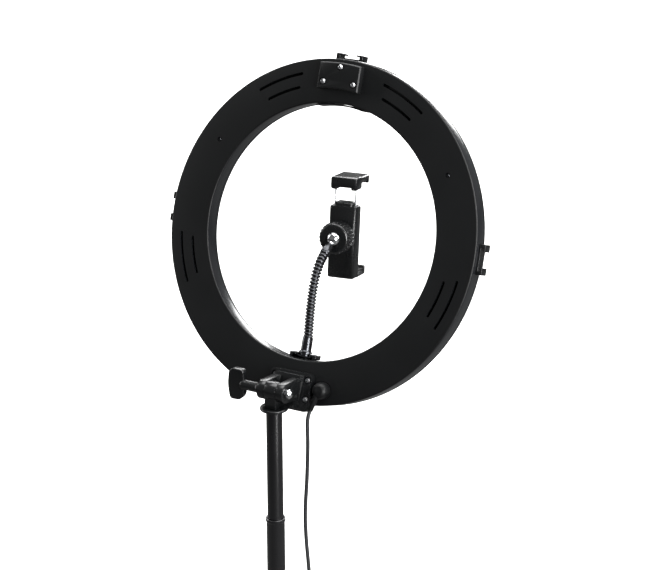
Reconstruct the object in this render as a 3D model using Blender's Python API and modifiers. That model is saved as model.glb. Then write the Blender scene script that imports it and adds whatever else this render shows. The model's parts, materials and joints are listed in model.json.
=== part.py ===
"""Ring light on a telescopic tripod.

A flat ring-shaped lamp leans on a tilt head at the top of a telescopic mast. A flexible arm stands in a
cold shoe inside the ring and carries a sprung phone clamp on a ball. Three flip-out legs hold the mast.
The supply cable hangs from the back of the ring to an in-line control box, a stored coil and a plug.

The floor is z = 0, the lamp shines towards +Y and +X is on the right of someone standing behind it.
"""

import math

import bmesh
import bpy
from mathutils import Matrix, Vector

MM = 0.001
GAP = 0.3 * MM

# Lamp ring, in its own plane: x to the right, v up, n out of the back
RING_OUTER_R = 150 * MM
RING_INNER_R = 111.5 * MM
RING_HALF_DEPTH = 8 * MM
RING_WALL = 1.8 * MM
RING_BACK_THICKNESS = 2 * MM
RING_LEAN = math.radians(18.86)
RING_CENTRE_Z = 730 * MM
RING_SEGMENTS = 80

# Tilt axis, measured from the ring's centre in the ring's plane
TILT_V = -138.8 * MM
TILT_N = 42.4 * MM
LUG_R = 8.5 * MM
BLOCK_HALF_WIDTH = 5.5 * MM
BLOCK_HALF_DEPTH = 7 * MM
BOLT_R = 3 * MM
BORE_CLEARANCE = 0.3 * MM

# Vent slots: (angle from the top, radius, half of the arc)
SLOT_WIDTH = 2.6 * MM
SLOT_PAIRS = (26, -26, 108, -108)
SLOT_ARCS = ((138.7 * MM, 9.0), (127.2 * MM, 7.1))
COVER_SCREW_ANGLES = (60, -60)
COVER_SCREW_R = 130.5 * MM

# Cold shoes
SHOE_HALF_WIDTH = 13 * MM
SHOE_SLOT_HALF_WIDTH = 9.5 * MM
SHOE_LIP_HALF_GAP = 6.6 * MM
SHOE_BASE = 1.0 * MM
SHOE_SLOT_HEIGHT = 2.2 * MM
SHOE_LIP = 1.6 * MM
SHOE_LENGTH = 10 * MM
SHOE_N = -3 * MM

# Mast
MAST_Y = -58.1 * MM
COLLAR_R = 12.2 * MM
COLLAR_THICKNESS = 2.4 * MM
COLLAR_DROP = 14.4 * MM
TUBE_UPPER_R = 7.0 * MM
TUBE_UPPER_BORE = 6.1 * MM
TUBE_UPPER_LENGTH = 300 * MM
TUBE_UPPER_SHOWN = 101 * MM
TUBE_SECOND_R = 8.0 * MM
TUBE_SECOND_BORE = 7.4 * MM
TUBE_SECOND_LENGTH = 330 * MM
TUBE_SECOND_SHOWN = 132 * MM
TUBE_RIM_R = 8.7 * MM
GRIP_R = 11.5 * MM
GRIP_BORE = 9.1 * MM
GRIP_FLOOR = 26 * MM

# Tripod
LEG_ANGLES = {"front": 90, "left": 210, "right": 330}
LEG_SPREAD = math.radians(52)
LEG_LENGTH = 270 * MM
LEG_PIVOT_R = 23 * MM
LEG_WIDTH = 11 * MM
LEG_DEPTH = 8 * MM
LEG_PIN_R = 2.2 * MM
LEG_PIVOT_Z = LEG_LENGTH * math.cos(LEG_SPREAD)

# Flexible arm, points (v, n) in the ring's plane
ARM_BASE = (-91, -3)
ARM_RISE = (-61, 2)
ARM_BEND = (-35, 6.5)
ARM_END = (-19, -8.6)
ARM_BALL = (-4.7, -22.1)
ARM_R = 3.9 * MM
FERRULE_R = 4.7 * MM
BALL_R = 6.6 * MM

# Phone clamp, measured from the ball's centre: x along the jaws, y forward, z up
CLAMP_TURN = math.radians(9)
CLAMP_LEAN = math.radians(-7.4)
CLAMP_HALF_WIDTH = 12.5 * MM
CLAMP_BACK = 18 * MM
CLAMP_FRONT = 33 * MM
CLAMP_BOTTOM = -39.5 * MM
CLAMP_TOP = 26 * MM
JAW_BOTTOM = 40 * MM
JAW_TOP = 51.5 * MM
JAW_REACH = 50.5 * MM
ROD_X = 9.6 * MM
ROD_R = 1.0 * MM
ROD_Y = 25.5 * MM

# Cable
CORD_R = 1.75 * MM
CORD_SPACING = 9 * MM
# Where the cable lies, in a frame at the mast's foot whose x points between two legs
LAY_TURN = math.radians(30)
COIL_CENTRE = (90.8 * MM, 35 * MM)
COIL_MEAN_R = 19.2 * MM
COIL_HALF_WIDTH = 5.3 * MM
COIL_BOTTOM = 1.1 * MM
COIL_HEIGHT = 10.6 * MM
# The hanging and lying route, from the gland to the control box, in world millimetres
CORD_ROUTE = (
    (22.8, -37.2, 590.7),
    (22.0, -39.0, 585.0),
    (21.9, -39.7, 577.0),
    (22.2, -39.8, 562.0),
    (21.6, -39.7, 542.0),
    (20.7, -39.6, 525.0),
    (19.4, -39.5, 507.0),
    (18.8, -39.4, 489.0),
    (19.3, -39.1, 471.0),
    (20.2, -38.9, 458.0),
    (22.0, -38.1, 432.0),
    (24.0, -36.7, 400.0),
    (26.6, -34.1, 350.0),
    (28.6, -31.5, 300.0),
    (30.4, -29.1, 250.0),
    (32.0, -27.1, 200.0),
    (33.6, -25.5, 150.0),
    (35.2, -24.3, 105.0),
    (38.5, -23.3, 65.0),
    (44.0, -22.0, 36.0),
    (49.8, -20.4, 16.0),
    (57.0, -19.4, 5.0),
    (66.0, -21.3, 2.0),
    (75.0, -27.1, 3.2),
    (80.7, -33.9, 5.2),
    (81.6, -35.4, 5.5),
)
# From the control box round to the stored coil
TAIL_ROUTE = (
    (121.4, -104.4, 5.50),
    (124.0, -108.9, 4.40),
    (129.3, -114.1, 2.80),
    (136.5, -116.2, 2.00),
    (143.4, -114.5, 2.00),
    (148.3, -109.4, 2.00),
    (150.1, -102.1, 2.00),
    (148.3, -94.9, 2.00),
    (141.3, -82.8, 2.00),
    (125.6, -54.9, 2.00),
    (111.3, -28.5, 2.00),
    (101.5, -8.7, 2.00),
    (94.2, 5.5, 2.50),
    (87.6, 17.2, 2.85),
)
# Heights at which the hanging cable is divided, so that each stretch follows one joint
CORD_CUTS = (530 * MM, 470 * MM, 300 * MM)

# Control box on the cable
BOX_CENTRE = (82 * MM, -61 * MM)
BOX_SIZE = (23 * MM, 78 * MM, 11 * MM)
BUTTON_R = 4 * MM
BUTTON_PITCH = 17 * MM
BUTTONS = ("power", "brighter", "dimmer")

BLACK = (0.022, 0.022, 0.024)
SATIN = (0.030, 0.031, 0.034)
STEEL = (0.62, 0.62, 0.63)
CHROME = (0.82, 0.82, 0.83)
RUBBER = (0.018, 0.018, 0.018)


# ---------------------------------------------------------------- scene and meshes


def clear_scene():
    """Remove whatever objects the open file holds."""
    for ob in list(bpy.data.objects):
        bpy.data.objects.remove(ob, do_unlink=True)


def new_collection(name):
    group = bpy.data.collections.new(name)
    bpy.context.scene.collection.children.link(group)
    return group


clear_scene()
PARTS = new_collection("ring_light")
CUTTERS = new_collection("cutters")


def frame(name, parent=None, matrix=Matrix.Identity(4)):
    """An empty that pieces are parented to."""
    empty = bpy.data.objects.new(name, None)
    PARTS.objects.link(empty)
    empty.parent = parent
    empty.matrix_local = matrix
    return empty


def material(name, colour, roughness, metallic):
    mat = bpy.data.materials.new(name)
    mat.use_nodes = True
    shader = mat.node_tree.nodes["Principled BSDF"]
    shader.inputs["Base Color"].default_value = (*colour, 1)
    shader.inputs["Roughness"].default_value = roughness
    shader.inputs["Metallic"].default_value = metallic
    return mat


def add(name, mesh, parent, colour=BLACK, roughness=0.4, metallic=0.0):
    """A named sub-part with its own material, in its parent's frame."""
    ob = bpy.data.objects.new(name, mesh)
    PARTS.objects.link(ob)
    ob.parent = parent
    mesh.materials.clear()
    mesh.materials.append(material(name, colour, roughness, metallic))
    mesh.shade_smooth()
    mesh.set_sharp_from_angle(angle=math.radians(35))
    return ob


def combine(ob, mesh, operation):
    """Cut or join a mesh, given in the object's own frame, with an exact Boolean."""
    tool = bpy.data.objects.new(ob.name + "_tool", mesh)
    CUTTERS.objects.link(tool)
    tool.parent = ob
    tool.hide_render = True
    tool.display_type = "WIRE"
    step = ob.modifiers.new(operation.lower(), "BOOLEAN")
    step.operation = operation
    step.solver = "EXACT"
    step.object = tool


def cut(ob, *meshes):
    for mesh in meshes:
        combine(ob, mesh, "DIFFERENCE")


def join(ob, *meshes):
    for mesh in meshes:
        combine(ob, mesh, "UNION")


def evaluated(ob):
    """The mesh of an object with its modifiers, welded, after which the object goes."""
    PARTS.objects.link(ob)
    graph = bpy.context.evaluated_depsgraph_get()
    mesh = bpy.data.meshes.new_from_object(ob.evaluated_get(graph))
    bpy.data.objects.remove(ob, do_unlink=True)
    bm = bmesh.new()
    bm.from_mesh(mesh)
    bmesh.ops.remove_doubles(bm, verts=bm.verts, dist=1e-6)
    bmesh.ops.recalc_face_normals(bm, faces=bm.faces)
    bm.to_mesh(mesh)
    bm.free()
    return mesh


def from_bmesh(bm, name):
    mesh = bpy.data.meshes.new(name)
    bm.to_mesh(mesh)
    bm.free()
    return mesh


def box(low, high, bevel=0.0, segments=1):
    """A box between two corners, with its edges rounded where bevel is given."""
    bm = bmesh.new()
    bmesh.ops.create_cube(bm, size=1)
    size = [h - l for l, h in zip(low, high)]
    middle = [(h + l) / 2 for l, h in zip(low, high)]
    bmesh.ops.scale(bm, vec=size, verts=bm.verts)
    bmesh.ops.translate(bm, vec=middle, verts=bm.verts)
    if bevel:
        bmesh.ops.bevel(
            bm, geom=bm.edges[:], offset=bevel, segments=segments, profile=0.5, affect="EDGES"
        )
    return from_bmesh(bm, "box")


def rod(start, end, radius, segments=16, end_radius=None):
    """A cylinder or cone between two points."""
    start, end = Vector(start), Vector(end)
    line = end - start
    bm = bmesh.new()
    bmesh.ops.create_cone(
        bm,
        cap_ends=True,
        segments=segments,
        radius1=radius,
        radius2=radius if end_radius is None else end_radius,
        depth=line.length,
    )
    turn = Vector((0, 0, 1)).rotation_difference(line).to_matrix().to_4x4()
    bmesh.ops.transform(
        bm, matrix=Matrix.Translation((start + end) / 2) @ turn, verts=bm.verts
    )
    return from_bmesh(bm, "rod")


def turned(profile, segments, closed=True):
    """A profile of (radius, height) turned round Z. Its points run down the outer side."""
    count = len(profile)
    edges = [(i, i + 1) for i in range(count - 1)]
    if closed:
        edges.append((count - 1, 0))
    mesh = bpy.data.meshes.new("profile")
    mesh.from_pydata([(r, 0, h) for r, h in profile], edges, [])
    ob = bpy.data.objects.new("profile", mesh)
    screw = ob.modifiers.new("turn", "SCREW")
    screw.steps = screw.render_steps = segments
    screw.use_merge_vertices = True
    screw.merge_threshold = 1e-5
    return evaluated(ob)


def outline(points, low, high):
    """A flat closed outline (x, y) made solid from z = low to z = high."""
    curve = bpy.data.curves.new("outline", "CURVE")
    curve.dimensions = "2D"
    curve.fill_mode = "BOTH"
    curve.extrude = (high - low) / 2
    spline = curve.splines.new("POLY")
    spline.points.add(len(points) - 1)
    for point, (x, y) in zip(spline.points, points):
        point.co = (x, y, 0, 1)
    spline.use_cyclic_u = True
    mesh = evaluated(bpy.data.objects.new("outline", curve))
    mesh.transform(Matrix.Translation((0, 0, (high + low) / 2)))
    return mesh


def tube(points, radius, resolution=2):
    """A round bar along points."""
    curve = bpy.data.curves.new("tube", "CURVE")
    curve.dimensions = "3D"
    curve.bevel_depth = radius
    curve.bevel_resolution = resolution
    curve.use_fill_caps = True
    spline = curve.splines.new("POLY")
    spline.points.add(len(points) - 1)
    for point, co in zip(spline.points, points):
        point.co = (*co, 1)
    return evaluated(bpy.data.objects.new("tube", curve))


def moved(mesh, matrix):
    mesh.transform(matrix)
    return mesh


def arc(radius, start, end, steps, centre=(0, 0)):
    """Points on a circle, with angles in degrees from +x towards +y."""
    angles = [math.radians(start + (end - start) * i / steps) for i in range(steps + 1)]
    return [(centre[0] + radius * math.cos(a), centre[1] + radius * math.sin(a)) for a in angles]


def rounded_rectangle(left, right, bottom, top, radius, steps=3):
    corners = (
        (right - radius, top - radius, 0),
        (left + radius, top - radius, 90),
        (left + radius, bottom + radius, 180),
        (right - radius, bottom + radius, 270),
    )
    points = []
    for x, y, start in corners:
        points += arc(radius, start, start + 90, steps, (x, y))
    return points


def smooth_route(points, spacing):
    """Points at an even spacing on a smooth curve through the given points."""
    dense = []
    for i in range(len(points) - 1):
        p0 = points[max(i - 1, 0)]
        p1, p2 = points[i], points[i + 1]
        p3 = points[min(i + 2, len(points) - 1)]
        for k in range(20):
            t = k / 20
            dense.append(
                0.5
                * (
                    2 * p1
                    + (p2 - p0) * t
                    + (2 * p0 - 5 * p1 + 4 * p2 - p3) * t**2
                    + (3 * p1 - p0 - 3 * p2 + p3) * t**3
                )
            )
    dense.append(points[-1])
    lengths = [0.0]
    for a, b in zip(dense, dense[1:]):
        lengths.append(lengths[-1] + (b - a).length)
    count = max(2, round(lengths[-1] / spacing))
    even = []
    j = 0
    for i in range(count + 1):
        target = lengths[-1] * i / count
        while j < len(lengths) - 2 and lengths[j + 1] < target:
            j += 1
        part = (target - lengths[j]) / (lengths[j + 1] - lengths[j])
        even.append(dense[j].lerp(dense[j + 1], min(part, 1)))
    return even


# ---------------------------------------------------------------- frames

RING_TURN = Matrix.Rotation(math.radians(90) - RING_LEAN, 4, "X")
TILT_POINT = Vector((0, MAST_Y, 0))
RING_OFFSET = RING_TURN @ Vector((0, -TILT_V, -TILT_N))
TILT_POINT.z = RING_CENTRE_Z - RING_OFFSET.z
COLLAR_TOP = TILT_POINT.z - COLLAR_DROP

ROOT = frame("floor_frame")
GRIP = frame("grip_frame", ROOT, Matrix.Translation((0, MAST_Y, 0)))
LAY = frame("cable_frame", ROOT, Matrix.Translation((0, MAST_Y, 0)) @ Matrix.Rotation(LAY_TURN, 4, "Z"))
MAST_SECOND = frame("mast_second_frame", GRIP)
MAST_UPPER = frame("mast_upper_frame", MAST_SECOND)
PAN = frame("pan_axis", MAST_UPPER)
TILT = frame("tilt_axis", PAN, Matrix.Translation((0, 0, TILT_POINT.z)))
RING = frame("ring_plane", TILT, Matrix.Translation(RING_OFFSET) @ RING_TURN)
RING_WORLD = Matrix.Translation(TILT_POINT + RING_OFFSET) @ RING_TURN


# ---------------------------------------------------------------- lamp ring


def rear_cover():
    """A shallow channel bent into a ring: the back and both walls, open to the front."""
    outer, inner, half = RING_OUTER_R, RING_INNER_R, RING_HALF_DEPTH
    floor = half - RING_BACK_THICKNESS
    edge = 1.3 * MM
    profile = [
        (outer - edge, half),
        (outer, half - edge),
        (outer, -half),
        (outer - RING_WALL, -half),
        (outer - RING_WALL, floor),
        (inner + RING_WALL, floor),
        (inner + RING_WALL, -half),
        (inner, -half),
        (inner, half - edge),
        (inner + edge, half),
    ]
    cover = add("rear_cover", turned(profile, RING_SEGMENTS), RING, SATIN, 0.38)
    bosses = [
        rod((*spot, floor + 0.5 * MM), (*spot, 1.3 * MM), 3 * MM, 10)
        for spot in (arc(COVER_SCREW_R, a, a, 1)[0] for a in (0, 60, 120, 180, 240, 300))
    ]
    join(cover, *bosses)
    for middle in SLOT_PAIRS:
        for radius, half_arc in SLOT_ARCS:
            cut(cover, outline(slot_outline(radius, 90 - middle, half_arc), floor - MM, half + MM))
    for angle in COVER_SCREW_ANGLES:
        x, v = arc(COVER_SCREW_R, 90 - angle, 90 - angle, 1)[0]
        cut(cover, rod((x, v, half - 1.1 * MM), (x, v, half + MM), 2.3 * MM, 12))
    return cover


def slot_outline(radius, middle, half_arc):
    """A curved slot with round ends, centred on an angle from +x."""
    half = SLOT_WIDTH / 2
    start, end = middle - half_arc, middle + half_arc
    points = arc(radius + half, start, end, 6)
    points += arc(half, end, end + 180, 3, arc(radius, end, end, 1)[0])[1:-1]
    points += arc(radius - half, end, start, 6)
    points += arc(half, start + 180, start + 360, 3, arc(radius, start, start, 1)[0])[1:-1]
    return points


def front_diffuser():
    """The milky front ring, domed a little, between the cover's two walls."""
    outer = RING_OUTER_R - RING_WALL - GAP
    inner = RING_INNER_R + RING_WALL + GAP
    back, front = -5.5 * MM, -10.5 * MM
    profile = [
        (outer, back),
        (outer, -8.6 * MM),
        (outer - 3 * MM, front),
        (inner + 3 * MM, front),
        (inner, -8.6 * MM),
        (inner, back),
        (inner + 2 * MM, back),
        (inner + 2 * MM, front + 2 * MM),
        (outer - 2 * MM, front + 2 * MM),
        (outer - 2 * MM, back),
    ]
    return add("front_diffuser", turned(profile, 56), RING, (0.85, 0.85, 0.83), 0.35)


def led_board():
    """The ring-shaped circuit board that carries the lamps, on the cover's bosses."""
    outer = RING_OUTER_R - RING_WALL - 2.5 * MM
    inner = RING_INNER_R + RING_WALL + 2.5 * MM
    top, bottom = 1.0 * MM, -0.6 * MM
    profile = [(outer, top), (outer, bottom), (inner, bottom), (inner, top)]
    return add("led_board", turned(profile, 48), RING, (0.8, 0.8, 0.78), 0.5)


TOP_PAD_FACE = 16 * MM
TOP_SCREWS = ((0, 142.3 * MM), (-14.8 * MM, 128.5 * MM), (14.8 * MM, 128.5 * MM))


def top_pad():
    """The moulded block at the top of the back, with its three screws."""
    half, low_r, high_r = 20 * MM, 123.5 * MM, 146.3 * MM
    low = math.degrees(math.asin(half / low_r))
    high = math.degrees(math.asin(half / high_r))
    points = arc(high_r, 90 - high, 90 + high, 6) + arc(low_r, 90 + low, 90 - low, 6)
    body = outline(points, RING_HALF_DEPTH + GAP, TOP_PAD_FACE)
    bm = bmesh.new()
    bm.from_mesh(body)
    rim = [e for e in bm.edges if min(v.co.z for v in e.verts) > TOP_PAD_FACE - 1e-5]
    rim = [e for e in rim if len(e.link_faces) == 2]
    rim = [e for e in rim if abs(e.link_faces[0].normal.z - e.link_faces[1].normal.z) > 0.5]
    bmesh.ops.bevel(bm, geom=rim, offset=1.0 * MM, segments=1, affect="EDGES")
    bm.to_mesh(body)
    bm.free()
    pad = add("top_pad", body, RING, SATIN, 0.34)
    for number, (x, v) in enumerate(TOP_SCREWS, 1):
        screw_seat(pad, x, v, TOP_PAD_FACE, 3.1 * MM, 1.2 * MM, 5 * MM)
        head = screw(x, v, TOP_PAD_FACE, 2.7 * MM, 1.2 * MM, 5 * MM)
        add(f"top_screw_{number}", head, RING, CHROME, 0.2, 1.0)


def screw_seat(ob, x, v, face, radius, recess, depth):
    """A counterbored blind hole in a face that looks out of the ring's back."""
    cut(ob, rod((x, v, face - recess), (x, v, face + MM), radius, 12))
    cut(ob, rod((x, v, face - depth - 0.4 * MM), (x, v, face), 1.75 * MM, 10))


def screw(x, v, face, radius, recess, depth):
    """A pan-head screw whose head stands a little proud of the face it sits in."""
    seat = face - recess + GAP
    profile = [
        (0, seat + 1.5 * MM),
        (radius * 0.72, seat + 1.25 * MM),
        (radius, seat + 0.6 * MM),
        (radius, seat),
        (1.35 * MM, seat),
        (1.35 * MM, face - depth),
        (0, face - depth),
    ]
    return moved(turned(profile, 12, closed=False), Matrix.Translation((x, v, 0)))


def shoe_outline(radius, inward):
    """Cross-section of a cold shoe on a curved wall, with (0, radius) at the wall and y towards the slot."""
    sign = -1 if inward else 1
    spread = math.degrees(math.asin(SHOE_HALF_WIDTH / radius))
    wall = arc(radius, 90 + spread, 90 - spread, 6)
    base = radius + sign * SHOE_BASE
    under = base + sign * SHOE_SLOT_HEIGHT
    top = under + sign * SHOE_LIP
    right = [
        (SHOE_HALF_WIDTH, top),
        (SHOE_LIP_HALF_GAP, top),
        (SHOE_LIP_HALF_GAP, under),
        (SHOE_SLOT_HALF_WIDTH, under),
        (SHOE_SLOT_HALF_WIDTH, base),
    ]
    left = [(-x, y) for x, y in reversed(right)]
    return wall + right + left


def cold_shoes():
    """Rails on the rim at the top, left and right, and one inside the ring at the bottom."""
    low, high = SHOE_N - SHOE_LENGTH / 2, SHOE_N + SHOE_LENGTH / 2
    for name, turn in (("top", 0), ("left", 90), ("right", -90)):
        mesh = outline(shoe_outline(RING_OUTER_R + GAP, False), low, high)
        add(f"shoe_{name}", moved(mesh, Matrix.Rotation(math.radians(turn), 4, "Z")), RING, SATIN, 0.4)
    mesh = outline(shoe_outline(RING_INNER_R - GAP, True), low, high)
    add("shoe_bottom", moved(mesh, Matrix.Rotation(math.pi, 4, "Z")), RING, SATIN, 0.4)


def inner_pad():
    """The thin pad inside the top of the ring, with its recess."""
    outer, inner, half = RING_INNER_R - GAP, RING_INNER_R - 1.7 * MM, 12
    points = arc(outer, 90 - half, 90 + half, 8) + arc(inner, 90 + half, 90 - half, 8)
    pad = add("inner_pad", outline(points, -7 * MM, 6 * MM), RING, SATIN, 0.4)
    cut(pad, rod((0, inner - MM, 0), (0, inner + 0.9 * MM, 0), 2.6 * MM, 12))


CORD_EXIT = Vector((22.8 * MM, -152.9 * MM, 15.6 * MM))


def cable_gland():
    """The round boss on the back where the cable leaves, with its tapered sleeve."""
    seat = RING_HALF_DEPTH + GAP
    boss = turned(
        [
            (0, 18.0 * MM),
            (4.2 * MM, 17.7 * MM),
            (6.4 * MM, 16.2 * MM),
            (7.4 * MM, 13.4 * MM),
            (7.4 * MM, seat),
            (0, seat),
        ],
        20,
        closed=False,
    )
    gland = add("cable_gland", moved(boss, Matrix.Translation((28.5 * MM, -134 * MM, 0))), RING, BLACK, 0.45)
    sleeve_top = (27 * MM, -136 * MM, 14.4 * MM)
    sleeve_end = (22.9 * MM, -152.2 * MM, 15.6 * MM)
    join(gland, rod(sleeve_top, sleeve_end, 3.0 * MM, 14, 2.2 * MM))


# ---------------------------------------------------------------- tilt head

BRACKET_FACE = 16.4 * MM
BRACKET_SCREWS = (
    (-16.2 * MM, -127.1 * MM),
    (-16.6 * MM, -143.6 * MM),
    (16.2 * MM, -127.1 * MM),
    (16.6 * MM, -143.6 * MM),
)
EAR_INNER = 6.0 * MM
EAR_OUTER = 12.4 * MM
ALONG_X = Matrix(((0, 0, 1, 0), (1, 0, 0, 0), (0, 1, 0, 0), (0, 0, 0, 1)))


def tilt_bracket():
    """The plate on the back of the ring, its raised middle and the two ears of the hinge."""
    plate = outline(
        rounded_rectangle(-20.2 * MM, 20.2 * MM, -154.5 * MM, -121.5 * MM, 3.5 * MM),
        RING_HALF_DEPTH + GAP,
        BRACKET_FACE,
    )
    bracket = add("tilt_bracket", plate, RING, BLACK, 0.3)
    middle = [(12.6, -123.6), (-12.6, -123.6), (-10.2, -153), (10.2, -153)]
    join(bracket, outline([(x * MM, v * MM) for x, v in middle], 12 * MM, 23.2 * MM))
    ear = [(-126 * MM, 20 * MM), (-126.5 * MM, 27 * MM)]
    ear += arc(LUG_R, 20, 185, 9, (TILT_V, TILT_N))
    ear += [(-145 * MM, 24.7 * MM), (-145 * MM, 20 * MM)]
    for low, high in ((EAR_INNER, EAR_OUTER), (-EAR_OUTER, -EAR_INNER)):
        join(bracket, moved(outline(ear, low, high), ALONG_X))
    for number, (x, v) in enumerate(BRACKET_SCREWS, 1):
        screw_seat(bracket, x, v, BRACKET_FACE, 3.2 * MM, 2.4 * MM, 6 * MM)
        head = screw(x, v, BRACKET_FACE, 2.7 * MM, 2.4 * MM, 6 * MM)
        add(f"bracket_screw_{number}", head, RING, CHROME, 0.25, 1.0)
    cut(bracket, rod((-20 * MM, TILT_V, TILT_N), (20 * MM, TILT_V, TILT_N), BOLT_R + BORE_CLEARANCE, 16))


def tilt_block():
    """The hinge's middle piece, which turns on the mast by its stub."""
    disc = rod((-BLOCK_HALF_WIDTH, 0, 0), (BLOCK_HALF_WIDTH, 0, 0), LUG_R, 24)
    block = add("tilt_block", disc, TILT, BLACK, 0.32)
    low = -COLLAR_DROP + GAP
    foot = box(
        (-BLOCK_HALF_WIDTH, -BLOCK_HALF_DEPTH, low),
        (BLOCK_HALF_WIDTH, BLOCK_HALF_DEPTH, -3 * MM),
        0.4 * MM,
    )
    join(block, foot, rod((0, 0, -24 * MM), (0, 0, low + MM), 3.1 * MM, 16))
    cut(block, rod((-9 * MM, 0, 0), (9 * MM, 0, 0), BOLT_R + BORE_CLEARANCE, 16))


def tilt_bolt_and_knob():
    """The cross bolt with its domed head on the right, and the wing knob on its left end."""
    profile = [
        (0, 18.2 * MM),
        (2.6 * MM, 17.7 * MM),
        (4.2 * MM, 15.8 * MM),
        (4.2 * MM, EAR_OUTER + GAP),
        (BOLT_R, EAR_OUTER + GAP),
        (BOLT_R, -12.6 * MM),
        (0, -12.6 * MM),
    ]
    bolt = turned(profile, 16, closed=False)
    add("tilt_bolt", moved(bolt, Matrix.Rotation(math.radians(90), 4, "Y")), TILT, CHROME, 0.18, 1.0)
    neck = rod((-13.0 * MM, 0, 0), (-30 * MM, 0, 0), 5.1 * MM, 20, 4.6 * MM)
    knob = add("tilt_knob", neck, TILT, BLACK, 0.42)
    wing = [(-28.6, -8), (-28.6, 12.5), (-31, 14.2), (-40.5, 14.2), (-43.6, 11), (-44.6, 2),
            (-44.6, -3), (-43.4, -11.5), (-41.8, -14.2), (-33.5, -14.2), (-30, -11)]
    wing = outline([(x * MM, z * MM) for x, z in wing], -3.2 * MM, 3.2 * MM)
    join(knob, moved(wing, Matrix.Rotation(math.radians(90), 4, "X")))


# ---------------------------------------------------------------- mast and tripod

GRIP_TOP = COLLAR_TOP - COLLAR_THICKNESS - TUBE_UPPER_SHOWN - TUBE_SECOND_SHOWN


def mast():
    """Collar, two telescoping tubes, and the grip tube with its cap."""
    under = COLLAR_TOP - COLLAR_THICKNESS
    bore = 3.4 * MM
    collar = [
        (COLLAR_R - 0.5 * MM, COLLAR_TOP),
        (COLLAR_R, COLLAR_TOP - 0.6 * MM),
        (COLLAR_R, under),
        (5.8 * MM, under),
        (5.8 * MM, under - 11 * MM),
        (bore, under - 11 * MM),
        (bore, COLLAR_TOP),
    ]
    add("mast_collar", turned(collar, 24), MAST_UPPER, BLACK, 0.3)
    top = under - GAP
    low = top - TUBE_UPPER_LENGTH
    tube_profile = [(TUBE_UPPER_R, top), (TUBE_UPPER_R, low), (TUBE_UPPER_BORE, low), (TUBE_UPPER_BORE, top)]
    add("tube_upper", turned(tube_profile, 24), MAST_UPPER, BLACK, 0.28, 0.3)
    rim = under - TUBE_UPPER_SHOWN
    low = rim - TUBE_SECOND_LENGTH
    second = [
        (TUBE_RIM_R - 0.4 * MM, rim),
        (TUBE_RIM_R, rim - 0.6 * MM),
        (TUBE_RIM_R, rim - 2.6 * MM),
        (TUBE_SECOND_R, rim - 3.4 * MM),
        (TUBE_SECOND_R, low),
        (TUBE_SECOND_BORE, low),
        (TUBE_SECOND_BORE, rim),
    ]
    add("tube_second", turned(second, 24), MAST_SECOND, BLACK, 0.28, 0.3)
    grip = [
        (GRIP_R, GRIP_TOP),
        (GRIP_R, GRIP_FLOOR + 1.5 * MM),
        (GRIP_R - 1.5 * MM, GRIP_FLOOR),
        (0, GRIP_FLOOR),
        (0, GRIP_FLOOR + 3 * MM),
        (GRIP_BORE, GRIP_FLOOR + 3 * MM),
        (GRIP_BORE, GRIP_TOP),
    ]
    grip_tube = turned(grip, 24)
    add("grip_tube", grip_tube, GRIP, BLACK, 0.4, 0.2)
    high = GRIP_TOP + 3 * MM
    cap = [
        (10.5 * MM, high),
        (13.2 * MM, high - 2 * MM),
        (13.2 * MM, high - 16 * MM),
        (12.2 * MM, high - 18 * MM),
        (GRIP_R + GAP, high - 18 * MM),
        (GRIP_R + GAP, GRIP_TOP + GAP),
        (8.6 * MM, GRIP_TOP + GAP),
        (8.6 * MM, high),
    ]
    add("grip_cap", turned(cap, 24), GRIP, BLACK, 0.5)


def leg_frame(name, degrees):
    """A frame on a leg's hinge axis, turned so that its x points outwards."""
    turn = Matrix.Rotation(math.radians(degrees), 4, "Z")
    place = Matrix.Translation(turn @ Vector((LEG_PIVOT_R, 0, LEG_PIVOT_Z)))
    return frame(f"leg_{name}_axis", GRIP, place @ turn)


def leg_hub():
    """The ring clamped round the grip, with three pairs of ears."""
    inner = GRIP_R + GAP
    low, high = LEG_PIVOT_Z - 11 * MM, LEG_PIVOT_Z + 13 * MM
    collar = [
        (14.6 * MM, high),
        (16 * MM, high - 1.4 * MM),
        (16 * MM, low + 1.4 * MM),
        (14.6 * MM, low),
        (inner, low),
        (inner, high),
    ]
    hub = add("leg_hub", turned(collar, 24), GRIP, BLACK, 0.45)
    clear = LEG_WIDTH / 2 + 0.4 * MM
    for degrees in LEG_ANGLES.values():
        turn = Matrix.Rotation(math.radians(degrees), 4, "Z")
        for side in (-1, 1):
            near, far = sorted((side * clear, side * (clear + 3.4 * MM)))
            ear = box(
                (13.4 * MM, near, LEG_PIVOT_Z - 8 * MM),
                (LEG_PIVOT_R + 6 * MM, far, LEG_PIVOT_Z + 8 * MM),
                1.2 * MM,
            )
            join(hub, moved(ear, turn))
        hole = rod(
            (LEG_PIVOT_R, -12 * MM, LEG_PIVOT_Z),
            (LEG_PIVOT_R, 12 * MM, LEG_PIVOT_Z),
            LEG_PIN_R + BORE_CLEARANCE,
            12,
        )
        cut(hub, moved(hole, turn))


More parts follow.
